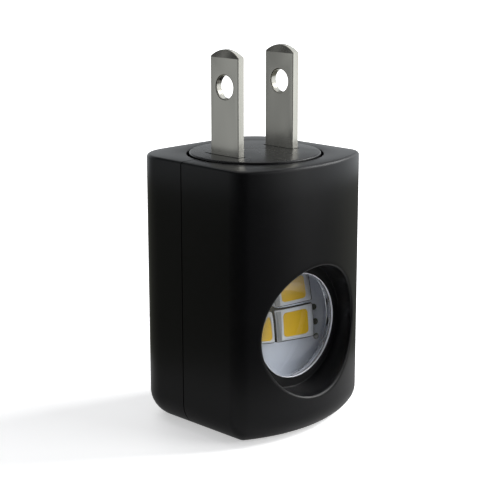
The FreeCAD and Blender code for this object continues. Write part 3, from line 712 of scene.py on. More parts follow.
    def add_seam(self, surface: Surface, outer: np.ndarray, groove: np.ndarray, inner: np.ndarray) -> None:
        """Closes a shell along the seam: the groove's side, its bottom and the wall's edge behind it.

        Args:
            surface: the shell being made.
            outer: the outer skin.
            groove: the skin at the groove's depth.
            inner: the inner skin.
        """
        for seam, edge in ((0, 1), (-1, -2)):
            surface.strip(outer[:, edge], groove[:, edge])
            surface.strip(groove[:, edge], groove[:, seam])
            surface.strip(groove[:, seam], inner[:, seam])

    def patch(self, skin: np.ndarray) -> tuple[int, int, int, int]:
        """Finds the rectangle of a skin that the window sits in.

        Args:
            skin: the rows and columns of points.
        Returns:
            Its first and last row, and its first and last column.
        """
        low = int(np.argmin(np.abs(skin[:, 0, 2] - (self.window.centre_z - self.window_margin))))
        trim = (skin.shape[1] - self.arc_steps - 1) // 2
        return low, low + self.window_steps, trim, trim + self.arc_steps

    def patch_edge(self, skin: np.ndarray) -> np.ndarray:
        """Reads the points once round the window's rectangle.

        Args:
            skin: the rows and columns of points.
        Returns:
            Rows of x, y and z.
        """
        low, high, left, right = self.patch(skin)
        return np.concatenate([skin[low, left:right], skin[low:high, right], skin[high, right:left:-1],
                               skin[high:low:-1, left]])

    def add_skin(self, surface: Surface, skin: np.ndarray, half: Half) -> None:
        """Adds a skin's faces, and leaves out the window's rectangle on the front shell.

        Args:
            surface: the shell being made.
            skin: the rows and columns of points.
            half: which shell.
        """
        if half is Half.REAR:
            surface.grid(skin)
            return
        low, high, left, right = self.patch(skin)
        surface.grid(skin[:low + 1])
        surface.grid(skin[high:])
        surface.grid(skin[low:high + 1, :left + 1])
        surface.grid(skin[low:high + 1, right:])

    def face_y(self, across: np.ndarray, inset: float) -> np.ndarray:
        """The y of the front face, drawn in by inset, at a distance across."""
        centre, radius = self.arc(Half.FRONT, inset)
        return centre - np.sqrt(radius ** 2 - across ** 2)

    def add_patch(self, surface: Surface, edge: np.ndarray, bearing: np.ndarray, inset: float,
                  radius: np.ndarray | float, steps: int) -> None:
        """Fills the window's rectangle with rings that turn from it into a circle.

        A ring is a straight blend, in x and z, of the rectangle's edge and the circle, laid on the face.

        Args:
            surface: the shell being made.
            edge: the points round the rectangle.
            bearing: the angle at which each of them meets the circle.
            inset: how far inside the front face the skin lies.
            radius: the circle's radius, for each point or for all.
            steps: how many rings of faces there are.
        """
        share = np.linspace(0, 1, steps + 1)[:, None]
        across = (1 - share) * edge[:, 0] + share * radius * np.cos(bearing)
        up = (1 - share) * edge[:, 2] + share * (self.window.centre_z + radius * np.sin(bearing))
        surface.grid(np.stack([across, self.face_y(across, inset), up], axis=-1), closed=True)

    def rim(self, bearing: np.ndarray) -> np.ndarray:
        """The well's rounded mouth, which follows the curved front face.

        The wall leans in by a constant taper, so its radius at the face is found in a few rounds from the
        depth of the face there, and the rounding is a curve from the face to the wall.

        Args:
            bearing: the angle of each column round the window.
        Returns:
            Rows by columns by radius and y.
        """
        window = self.window
        taper = self.taper()
        radius = np.full_like(bearing, window.rim_radius)
        for _ in range(self.taper_rounds):
            radius = window.rim_radius - taper * (self.face_y(radius * np.cos(bearing), 0) + self.depth / 2)
        wide = radius + window.rim_round
        face = self.face_y(radius * np.cos(bearing), 0)
        start = np.stack([wide, self.face_y(wide * np.cos(bearing), 0)], axis=-1)
        corner = np.stack([radius, face], axis=-1)
        end = np.stack([radius - taper * window.rim_round, face + window.rim_round], axis=-1)
        return curve(start, corner, end, self.round_steps)

    def taper(self) -> float:
        """How much the well narrows for each millimetre of its depth."""
        return (self.window.rim_radius - self.window.floor_radius) / self.window.depth

    def add_window(self, surface: Surface, outer: np.ndarray, inner: np.ndarray) -> None:
        """Adds the well: rounded rim, tapered wall, floor, lens hole, seat and the tube's outside.

        Args:
            surface: the front shell being made.
            outer: the outer skin.
            inner: the inner skin.
        """
        window = self.window
        edge = self.patch_edge(outer)
        bearing = np.arctan2(edge[:, 2] - window.centre_z, edge[:, 0])
        rim = self.rim(bearing)
        self.add_patch(surface, edge, bearing, 0, rim[0, :, 0], self.round_steps)
        floor_y = window.depth - self.depth / 2
        seat_y = floor_y + window.floor_thickness
        floor, turn = window.floor_radius, window.floor_round
        hole, edge_turn = window.hole_radius, window.hole_round
        profile = np.concatenate([
            curve((floor + self.taper() * turn, floor_y - turn), (floor, floor_y), (floor - turn, floor_y),
                  self.round_steps),
            curve((hole + edge_turn, floor_y), (hole, floor_y), (hole, floor_y + edge_turn),
                  self.opening_steps),
            np.array([[hole, seat_y], [window.tube_radius, seat_y]])])
        tube = np.full_like(bearing, window.tube_radius)
        tube_end = np.stack([tube, self.face_y(tube * np.cos(bearing), self.side_wall)], axis=-1)
        rings = np.concatenate([rim, np.repeat(profile[:, None], len(bearing), axis=1), tube_end[None]])
        across = rings[..., 0] * np.cos(bearing)
        up = window.centre_z + rings[..., 0] * np.sin(bearing)
        surface.grid(np.stack([across, rings[..., 1], up], axis=-1), closed=True)
        self.add_patch(surface, self.patch_edge(inner), bearing, self.side_wall, window.tube_radius,
                       self.inner_patch_steps)

    def shell(self, half: Half, name: str) -> bpy.types.Object:
        """Builds one shell as a closed wall of plastic.

        Args:
            half: which shell.
            name: the piece's name.
        Returns:
            The shell.
        """
        edge = self.seam_y + half.value * self.groove_half
        poles = np.full(len(self.plan(half, 0)), edge)
        poles[[0, -1]] = self.seam_y
        outer = self.skin(half, 0, 0, 0, edge, self.opening_round)
        groove = self.skin(half, self.groove_depth, self.groove_depth, self.groove_depth, poles)
        inner = self.skin(half, self.side_wall, self.floor_wall, self.top_wall, self.seam_y)
        surface = Surface()
        self.add_skin(surface, outer[:, 1:-1], half)
        self.add_skin(surface, inner, half)
        if half is Half.FRONT:
            self.add_window(surface, outer, inner)
        self.add_seam(surface, outer, groove, inner)
        surface.strip(outer[-1, 1:-1], groove[-1, 1:-1])
        surface.strip(groove[-1], inner[-1])
        return surface.build(name, sharp_degrees=35)

    def pieces(self) -> list[Piece]:
        """Both shells, each in place of its node."""
        return [Piece(self.shell(half, name + "_moulding"), Body.HOUSING, POLISHED_ABS, (name,))
                for half, name in ((Half.FRONT, "front_shell"), (Half.REAR, "rear_shell"))]


@dataclass
class Plug:
    """The turning disc and its two blades."""

    disc_radius: float = 10.95
    face_z: float = 45.7
    edge_round: float = 0.3
    flange_radius: float = 12.3
    flange_top: float = 43.25
    disc_steps: int = 8
    underside: float = 41.65
    blade_spacing: float = 12.7
    blade_width: float = 6.35
    blade_thickness: float = 1.4
    blade_length: float = 17.197
    tip_rise: float = 1.15
    tip_steps: int = 32
    coin_length: float = 1.35
    coin_depth: float = 0.32
    crease_share: float = 0.9999
    hole_radius: float = 1.9
    hole_height: float = 11.15
    hole_columns: int = 96
    edge_width: float = 0.14
    hole_edge: float = 0.26
    edge_steps: int = 10
    shoulder_width: float = 8.6
    shoulder_height: float = 1.5
    tail_width: float = 4.0
    tail_height: float = 3.0
    slot_clearance: float = 0.24
    overruns: Pair = (1.6, 0.4)
    overrun_width: float = 0.4

    def slot_loop(self, side: int) -> np.ndarray:
        """The outline of one blade slot with its narrow overrun.

        Args:
            side: minus one for the left slot, one for the right.
        Returns:
            Rows of x and y, anticlockwise.
        """
        middle = side * self.blade_spacing / 2
        wide = self.blade_thickness / 2 + self.slot_clearance
        long = self.blade_width / 2 + self.slot_clearance
        far = self.blade_width / 2 + self.overruns[(side + 1) // 2]
        left = middle - self.blade_thickness / 2
        right = left + self.overrun_width
        return np.array([(middle - wide, -long), (middle + wide, -long), (middle + wide, long),
                         (right, long), (right, far), (left, far), (left, long), (middle - wide, long)])

    def disc(self) -> bpy.types.Object:
        """The disc: a stepped, rounded side turned about Z, and two flat faces pierced by the slots.

        Returns:
            The disc.
        """
        edge = self.edge_round
        radius = self.disc_radius
        profile = np.concatenate([
            np.array([(self.flange_radius, self.underside), (self.flange_radius, self.flange_top),
                      (radius, self.flange_top)]),
            curve((radius, self.face_z - edge), (radius, self.face_z), (radius - edge, self.face_z),
                  self.disc_steps)])
        side = revolve(profile, ROUND_COLUMNS)
        surface = Surface()
        surface.grid(side, closed=True)
        slots = [self.slot_loop(-1), self.slot_loop(1)]
        for ring, z in ((side[0], self.underside), (side[-1], self.face_z)):
            spots, triangles = fill_flat(ring[:, :2], slots)
            surface.add(lift(spots, z), triangles)
        for loop in slots:
            surface.strip(lift(loop, self.underside), lift(loop, self.face_z), closed=True)
        return surface.build("plug_disc_moulding", sharp_degrees=35)

    def blade_loop(self) -> np.ndarray:
        """The blade's outline: arched tip, straight sides, shoulders and tail.

        Returns:
            Rows of y and z, anticlockwise.
        """
        tip = self.face_z + self.blade_length
        half = self.blade_width / 2
        radius = arc_radius(self.blade_width, self.tip_rise)
        turn = math.asin(half / radius)
        angle = np.linspace(turn, -turn, self.tip_steps + 1)
        arch = np.stack([radius * np.sin(angle), tip - radius + radius * np.cos(angle)], axis=1)
        shoulder = self.shoulder_width / 2
        tail = self.tail_width / 2
        low = self.underside - self.shoulder_height
        end = self.underside - self.tail_height
        left = np.array([(-half, tip - self.coin_length), (-half, self.underside),
                         (-shoulder, self.underside), (-shoulder, low), (-tail, low), (-tail, end)])
        return np.concatenate([arch, left, left[::-1] * (-1, 1)])

    def blade(self, side: int, name: str) -> bpy.types.Object:
        """One blade: two flat faces with a coined tip, joined at the outline and the hole by rounded edges.

        The half thickness falls in a straight line from the start of the coining to the tip, and an edge is
        a quarter circle of inset against thickness.

        Args:
            side: minus one for the left blade, one for the right.
            name: the piece's name.
        Returns:
            The blade.
        """
        coin_start = self.face_z + self.blade_length - self.coin_length
        outline = self.blade_loop()
        angle = -np.arange(self.hole_columns) * 2 * np.pi / self.hole_columns
        circle = np.stack([np.cos(angle), np.sin(angle)], axis=1)
        hole = circle * self.hole_radius + (0, self.face_z + self.hole_height)
        surface = Surface()
        quarter = np.linspace(0, np.pi / 2, self.edge_steps + 1)
        for loop, width in ((outline, self.edge_width), (hole, self.hole_edge)):
            rows = []
            for facing, angles in ((-1, quarter), (1, quarter[::-1])):
                for turn in angles:
                    moved = offset_loop(loop, width * (1 - math.sin(turn)))
                    drop = width * (1 - math.cos(turn))
                    rows.append(self.sheet(moved, side, facing, drop, coin_start))
            surface.grid(np.stack(rows), closed=True)
        inset = offset_loop(outline, self.edge_width)
        crease = np.array([(inset[:, 0].min(), coin_start), (inset[:, 0].max(), coin_start)])
        spots, triangles = fill_flat(inset, [offset_loop(hole, self.hole_edge)],
                                     (crease * (self.crease_share, 1),))
        for facing in (-1, 1):
            surface.add(self.sheet(spots, side, facing, 0.0, coin_start), triangles)
        return surface.build(name, sharp_degrees=11)

    def sheet(self, flat: np.ndarray, side: int, facing: int, drop: float, coin_start: float) -> np.ndarray:
        """Lays points of y and z on one wide face of a blade, lowered by drop and thinned by the coining.

        Args:
            flat: rows of y and z.
            side: minus one for the left blade, one for the right.
            facing: minus one for its left face, one for its right.
            drop: how far below the face the points lie.
            coin_start: the height from which the coining thins the blade.
        Returns:
            Rows of x, y and z.
        """
        coin = np.clip((flat[:, 1] - coin_start) / self.coin_length, 0, None) * self.coin_depth
        across = side * self.blade_spacing / 2 + facing * (self.blade_thickness / 2 - drop - coin)
        return np.stack([across, flat[:, 0], flat[:, 1]], axis=1)

    def pieces(self) -> list[Piece]:
        """The disc and the blades, each in place of its node."""
        return [Piece(self.disc(), Body.PLUG, MOULDED_NYLON, ("plug_disc",)),
                Piece(self.blade(-1, "left_blade_stamping"), Body.PLUG, NICKEL_PLATE, ("blade_left",)),
                Piece(self.blade(1, "right_blade_stamping"), Body.PLUG, NICKEL_PLATE, ("blade_right",))]


@dataclass
class Optics:
    """The thick lens, the white tube behind it and the pale ring before it, a painted highlight at the
    lens's edge.
    """

    axis: Pair = (0, LENS_Z)
    edge_y: float = -9.4
    seat_y: float = -7.9
    flange_back: float = -6.9
    back_y: float = -2.9
    edge_radius: float = 8.8
    flange_radius: float = 10.1
    dome_radius: float = 16.0
    dome_steps: int = 48
    taper: float = 0.3
    edge_round: float = 0.12
    edge_steps: int = 6
    barrel_wall: float = 0.8
    highlight_collar_width: float = 0.09
    highlight_collar_height: float = 0.45
    highlight_collar_stand: float = 0.13
    highlight_collar_overlap: float = 0.03
    highlight_collar_round: float = 0.04
    highlight_collar_steps: int = 3

    def lens(self) -> bpy.types.Object:
        """The lens, turned about the window's axis: a spherical dome, a flange and a tapered flat block.

        Returns:
            The lens.
        """
        edge = self.edge_round
        centre = self.edge_y + math.sqrt(self.dome_radius ** 2 - self.edge_radius ** 2)
        limit = math.asin((self.edge_radius - edge) / self.dome_radius)
        angle = np.linspace(0, limit, self.dome_steps + 1)
        dome = np.stack([np.sin(angle), -np.cos(angle)], axis=1) * self.dome_radius + (0, centre)
        side = self.edge_radius
        back = side - self.taper
        profile = np.concatenate([
            dome, curve(dome[-1], (side, self.edge_y), (side, self.edge_y + edge), self.edge_steps)[1:],
            np.array([(side, self.seat_y), (self.flange_radius, self.seat_y),
                      (self.flange_radius, self.flange_back), (side, self.flange_back)]),
            curve((back, self.back_y - edge), (back, self.back_y), (back - edge, self.back_y),
                  self.edge_steps),
            np.array([(back / 2, self.back_y), (0, self.back_y)])])
        return round_piece("lens_moulding", revolve(profile, ROUND_COLUMNS, self.axis), sharp_degrees=30)

    def barrel(self) -> bpy.types.Object:
        """The tube between the lens flange and the board, turned about the window's axis.

        Returns:
            The tube.
        """
        outer = self.flange_radius
        inner = outer - self.barrel_wall
        profile = np.array([(inner, self.flange_back), (outer, self.flange_back), (outer, BOARD_Y),
                            (inner, BOARD_Y), (inner, self.flange_back)])
        rings = revolve(profile, TUBE_COLUMNS, self.axis)
        return round_piece("lens_barrel_moulding", rings, sharp_degrees=30)

    def highlight_collar(self) -> bpy.types.Object:
        """The thin pale ring in front of the lens edge, a painted highlight for the bright crescent at the
        lens's rim, turned about the window's axis.

        Returns:
            The ring.
        """
        outer = self.edge_radius + self.highlight_collar_overlap
        inner = outer - self.highlight_collar_width
        back = self.edge_y - self.highlight_collar_stand
        front = self.edge_y - self.highlight_collar_height
        turn = self.highlight_collar_round
        profile = np.concatenate([
            np.array([(outer, back)]),
            curve((outer, front + turn), (outer, front), (outer - turn, front), self.highlight_collar_steps),
            curve((inner + turn, front), (inner, front), (inner, front + turn), self.highlight_collar_steps),
            np.array([(inner, back), (outer, back)])])
        return round_piece("lens_highlight_collar", revolve(profile, TUBE_COLUMNS, self.axis), sharp_degrees=30)

    def pieces(self) -> list[Piece]:
        """The lens and its tube, each in place of its node, and the pale ring of painted highlight before
        the lens.
        """
        return [Piece(self.lens(), Body.HOUSING, POLISHED_ACRYLIC, ("lens",)),
                Piece(self.barrel(), Body.HOUSING, MOULDED_POLYPROPYLENE, ("lens_barrel",)),
                Piece(self.highlight_collar(), Body.HOUSING, MOULDED_POLYPHTHALAMIDE)]


@dataclass
class Diode:
    """The sizes of one light-emitting diode: body, phosphor pool, grey strip of painted side-wall shade, and
    dark foot of painted gap shade.
    """

    width: float = 5.5
    height: float = 4.0
    thickness: float = 0.8
    corner: float = 0.15
    edge_round: float = 0.06
    edge_lean: float = 0.018
    pool_width: float = 3.7
    pool_height: float = 3.1
    pool_corner: float = 0.5
    pool_offset: float = 0.12
    pool_lip: float = 0.06
    pool_lip_depth: float = 0.03
    pool_draft: float = 0.02
    pool_depth: float = 0.3
    pool_dip: float = 0.05
    pool_rings: int = 7
    phosphor_gap: float = 0.03
    phosphor_drop: float = 0.01
    shade_strip_width: float = 0.62
    shade_strip_inset: float = 0.05
    shade_strip_trim: float = 0.2
    shade_strip_corner: float = 0.08
    shade_strip_depth: float = 0.1
    shade_strip_rise: float = 0.02
    shade_strip_round: float = 0.012
    shade_strip_lean: float = 0.03
    foot_width: float = 0.085
    foot_drop: float = 0.05


@dataclass
class LightEngine:
    """The four light-emitting diodes on the white board, the pale filler between them, which paints light
    into the gaps where their shadow would fall, and the plated holes, painted dark with the shade seen down
    them.
    """

    centre_x: float = 0.6
    centre_z: float = 18.6
    column_gap: float = 0.4
    row_gap: float = 0.5
    diode: Diode = field(default_factory=Diode)
    left_pool_shift: float = 0.4
    left_pool_growth: float = 0.35
    filler_drop: float = 0.22
    corner_steps: int = 8
    least_corner: float = 1e-3
    via_radius: float = 0.3
    via_lip: float = 0.06
    via_rise: float = 0.02
    via_lip_rise: float = 0.01
    via_floor_radius: float = 0.16
    via_floor_depth: float = 0.04
    via_depth: float = 0.05
    via_thickness: float = 0.02
    via_columns: int = 40
    via_pitch: float = 1.7
    via_count: int = 3
    via_side_gap: float = 0.9
    via_top_drop: float = 1.2

    def places(self) -> list[Pair]:
        """Works out where the diodes stand.

        Returns:
            Their centres as x and z, in the order of their nodes.
        """
        column = (self.diode.width + self.column_gap) / 2
        row = (self.diode.height + self.row_gap) / 2
        return [(self.centre_x + x, self.centre_z + z) for z in (row, -row) for x in (-column, column)]

    def front(self) -> float:
        """The y of the diodes' front faces."""
        return BOARD_Y - self.diode.thickness

    def pool(self, x: float) -> Triple:
        """Sizes a diode's phosphor pool; those of the left column look larger through the lens.

        Args:
            x: the diode's centre.
        Returns:
            The pool's centre, width and height.
        """
        diode = self.diode
        if x > self.centre_x:
            return x + diode.pool_offset, diode.pool_width, diode.pool_height
        grow = self.left_pool_growth
        return x + self.left_pool_shift, diode.pool_width + grow, diode.pool_height + grow

    def ring(self, x: float, z: float, width: float, height: float, corner: float, y: float) -> np.ndarray:
        """A rectangle with rounded corners: four quarter circles about the corners' centres.

        Args:
            x: its centre across.
            z: its centre up.
            width: its width.
            height: its height.
            corner: its corners' radius.
            y: where it stands along Y.
        Returns:
            A loop of x, y and z.
        """
        corner = max(corner, self.least_corner)
        turn = np.linspace(0, np.pi / 2, self.corner_steps + 1)
        arcs = []
        for number, (right, up) in enumerate(((1, 1), (-1, 1), (-1, -1), (1, -1))):
            angle = turn + number * np.pi / 2
            arcs.append(np.stack([x + right * (width / 2 - corner) + corner * np.cos(angle),
                                  np.full_like(angle, y),
                                  z + up * (height / 2 - corner) + corner * np.sin(angle)], axis=1))
        return np.concatenate(arcs)

    def body(self, x: float, z: float, name: str) -> bpy.types.Object:
        """A diode's white body: rounded box with a soft edge and a recess for the phosphor.

        Args:
            x: the body's centre across.
            z: the body's centre up.
            name: the piece's name.
        Returns:
            The body.
        """
        diode, front, soft = self.diode, self.front(), self.diode.edge_round
        outside = [self.ring(x, z, diode.width - trim, diode.height - trim, diode.corner, y)
                   for trim, y in ((0, BOARD_Y), (0, front + soft), (soft, front + diode.edge_lean),
                                   (2 * soft, front))]
        pool_x, wide, high = self.pool(x)
        recess = [self.ring(pool_x, z, wide + grow, high + grow, diode.pool_corner, y)
                  for grow, y in ((diode.pool_lip, front), (0, front + diode.pool_lip_depth),
                                  (-diode.pool_draft, front + diode.pool_depth))]
        return round_piece(name, capped([*outside, *recess]), sharp_degrees=40)

    def phosphor(self, x: float, z: float, name: str) -> bpy.types.Object:
        """The yellow fill, a little hollow in the middle where the silicone sank as it cured.

        Its front is a stack of rings that shrink to the middle. With s a ring's scale, it lies deeper than
        the edge by the dip times one minus s to the fourth.

        Args:
            x: the diode's centre across.
            z: the diode's centre up.
            name: the piece's name.
        Returns:
            The fill.
        """
        diode = self.diode
        pool_x, wide, high = self.pool(x)
        wide -= diode.phosphor_gap
        high -= diode.phosphor_gap
        rings = [self.ring(pool_x, z, wide, high, diode.pool_corner, self.front() + diode.pool_depth)]
        for scale in np.linspace(1, 0, diode.pool_rings + 1)[:-1]:
            sunk = diode.phosphor_drop + diode.pool_dip * (1 - scale ** 4)
            rings.append(self.ring(pool_x, z, wide * scale, high * scale, diode.pool_corner * scale,
                                   self.front() + sunk))
        return round_piece(name, capped(rings), sharp_degrees=50)

    def side_shade_strip(self, x: float, z: float, name: str) -> bpy.types.Object:
        """A grey strip at the left end of a diode, painted shade for its shaded side wall: a thin plate with
        a soft edge on its body.

        Args:
            x: the diode's centre across.
            z: the diode's centre up.
            name: the piece's name.
        Returns:
            The strip.
        """
        diode, front = self.diode, self.front()
        middle = x - diode.width / 2 + diode.shade_strip_width / 2 + diode.shade_strip_inset
        width, height = diode.shade_strip_width, diode.height - diode.shade_strip_trim
        rings = [self.ring(middle, z, width - trim, height - trim, diode.shade_strip_corner, y)
                 for trim, y in ((0, front + diode.shade_strip_depth),
                                 (0, front - diode.shade_strip_rise + diode.shade_strip_round),
                                 (diode.shade_strip_lean, front - diode.shade_strip_rise))]
        return round_piece(name, capped(rings), sharp_degrees=40)

    def foot(self, x: float, z: float, name: str) -> bpy.types.Object:
        """A dark line round a diode, painted shade for the gap at its foot: a square-edged frame that stops
        just below its front.

        Args:
            x: the diode's centre across.
            z: the diode's centre up.
            name: the piece's name.
        Returns:
            The frame.
        """
        diode = self.diode
        top = self.front() + diode.foot_drop
        rings = [self.ring(x, z, diode.width + 2 * grow, diode.height + 2 * grow, diode.corner + grow, y)
                 for grow, y in ((0, BOARD_Y), (diode.foot_width, BOARD_Y), (diode.foot_width, top),
                                 (0, top), (0, BOARD_Y))]
        return round_piece(name, np.stack(rings), sharp_degrees=40)

    def sheet(self) -> bpy.types.Object:
        """A pale filler between the diodes, which stops a little below their fronts: painted light, so that
        the gaps show pale board instead of the diodes' shadow.

        Returns:
            The sheet.
        """
        width = 2 * self.diode.width + self.column_gap
        height = 2 * self.diode.height + self.row_gap
        rings = [self.ring(self.centre_x, self.centre_z, width, height, self.diode.corner, y)
                 for y in (BOARD_Y, self.front() + self.filler_drop)]
        return round_piece("led_gap_light_filler", capped(rings), sharp_degrees=40)

    def via(self, number: int) -> bpy.types.Object:
        """One plated hole, a thin dished disc turned about the hole's axis, painted dark as the shade seen
        down the hole.

        Args:
            number: which hole, from 0 at the top.
        Returns:
            The rim.
        """
        x = self.centre_x + self.column_gap / 2 + self.diode.width + self.via_side_gap
        z = self.centre_z - self.via_top_drop - number * self.via_pitch
        lip = self.via_radius + self.via_lip
        profile = np.array([(0, self.via_depth), (self.via_floor_radius, self.via_floor_depth),
                            (self.via_radius, -self.via_rise), (lip, -self.via_lip_rise),
                            (lip, self.via_thickness), (0, self.via_depth + self.via_thickness)])
        rings = revolve(profile + (0, BOARD_Y), self.via_columns, (x, z))
        return round_piece(f"via_{number + 1}", rings, sharp_degrees=50)

    def pieces(self) -> list[Piece]:
        """The plated holes' dark dishes of painted shade and the pale filler of painted light, then each
        diode's grey strip and dark foot of painted shade, body and fill.

        Returns:
            The pieces, of which the bodies and fills stand for their nodes.
        """
        made = [Piece(self.via(number), Body.HOUSING, PAINTED_HOLE_SHADE) for number in range(self.via_count)]
        made.append(Piece(self.sheet(), Body.HOUSING, WHITE_MASK))
        for number, place in enumerate(self.places(), start=1):
            made += [Piece(self.side_shade_strip(*place, f"led_side_shade_strip_{number}"), Body.HOUSING, SIDE_SHADE_TIN),
                     Piece(self.foot(*place, f"led_foot_{number}"), Body.HOUSING, PAINTED_GAP_SHADE),
                     Piece(self.body(*place, f"led_body_{number}"), Body.HOUSING, MOULDED_POLYPHTHALAMIDE,
                           (f"led_package_{number}",)),
                     Piece(self.phosphor(*place, f"led_fill_{number}"), Body.HOUSING, PHOSPHOR_SILICONE,
                           (f"led_phosphor_{number}",))]
        return made


@dataclass(frozen=True)
class Band:
    """The light of one band of the gloss screen, as pairs of share of a turn and linear level.

    It takes over from the band below it between two heights.
    """

    tint: Triple
    levels: tuple[Pair, ...]
    low_mm: float = 0.0
    high_mm: float = 0.0

    def ramp(self, tree: bpy.types.NodeTree, turn: bpy.types.NodeSocket) -> bpy.types.NodeSocket:
        """Makes a tinted ramp of the levels.

        Args:
            tree: the node tree.
            turn: the socket that gives the share of a turn.
        Returns:
            The ramp's colour socket.
        """
        node = add_node(tree, "ValToRGB", {"Fac": turn})
        stops = node.color_ramp.elements
        for number, (spot, level) in enumerate(self.levels):
            stop = stops[number] if number < 2 else stops.new(spot)
            stop.position = spot
            stop.color = (*(level * share for share in self.tint), 1.0)
        return node.outputs["Color"]


@dataclass(frozen=True)
class Lamp:
    """A soft square lamp, in metres and watts; gloss shows it only where it is mirrored."""

    name: str
    place: Triple
    size: float
    watts: float
    mirrored: bool = False

    def build(self, aim: Triple) -> None:
        """Hangs the lamp.

        Args:
            aim: the point it faces.
        """
        light = bpy.data.lights.new(self.name, "AREA")
        light.size = self.size
        light.energy = self.watts
        lamp = bpy.data.objects.new(self.name, light)
        lamp.location = self.place
        lamp.visible_glossy = self.mirrored
        lamp.rotation_euler = (Vector(aim) - Vector(self.place)).to_track_quat("-Z", "Y").to_euler()
        bpy.context.scene.collection.objects.link(lamp)


# The tints of the light low beside the body and of the light above it.
WARM = (1.0, 1.02, 0.86)
COOL = (0.96, 1.0, 1.03)
# Dark behind the camera, grey on its left and pale on its right.
SIDE_LEVELS = ((0.0, 0.3), (1.0, 0.3), (0.09, 0.02), (0.17, 0.02), (0.25, 0.3), (0.375, 0.95))
# A dim stretch that brightens at the far left, behind the object.
BACK_LEVELS = ((0.83, 0.22), (0.86, 0.26), (0.9, 0.46))
# Dark behind the camera and on its left, for the heights beside and above the blades.
HIGH_LEVELS = ((0.0, 0.05), (1.0, 0.05), (0.25, 0.1))
# Two narrow bright lines on black at the far left, for the thin highlights along the blades' edges.
LINE_LEVELS = ((0.8, 0.03), (0.845, 0.03), (0.852, 0.5), (0.859, 0.03), (0.879, 0.03), (0.886, 0.5),
               (0.893, 0.03))


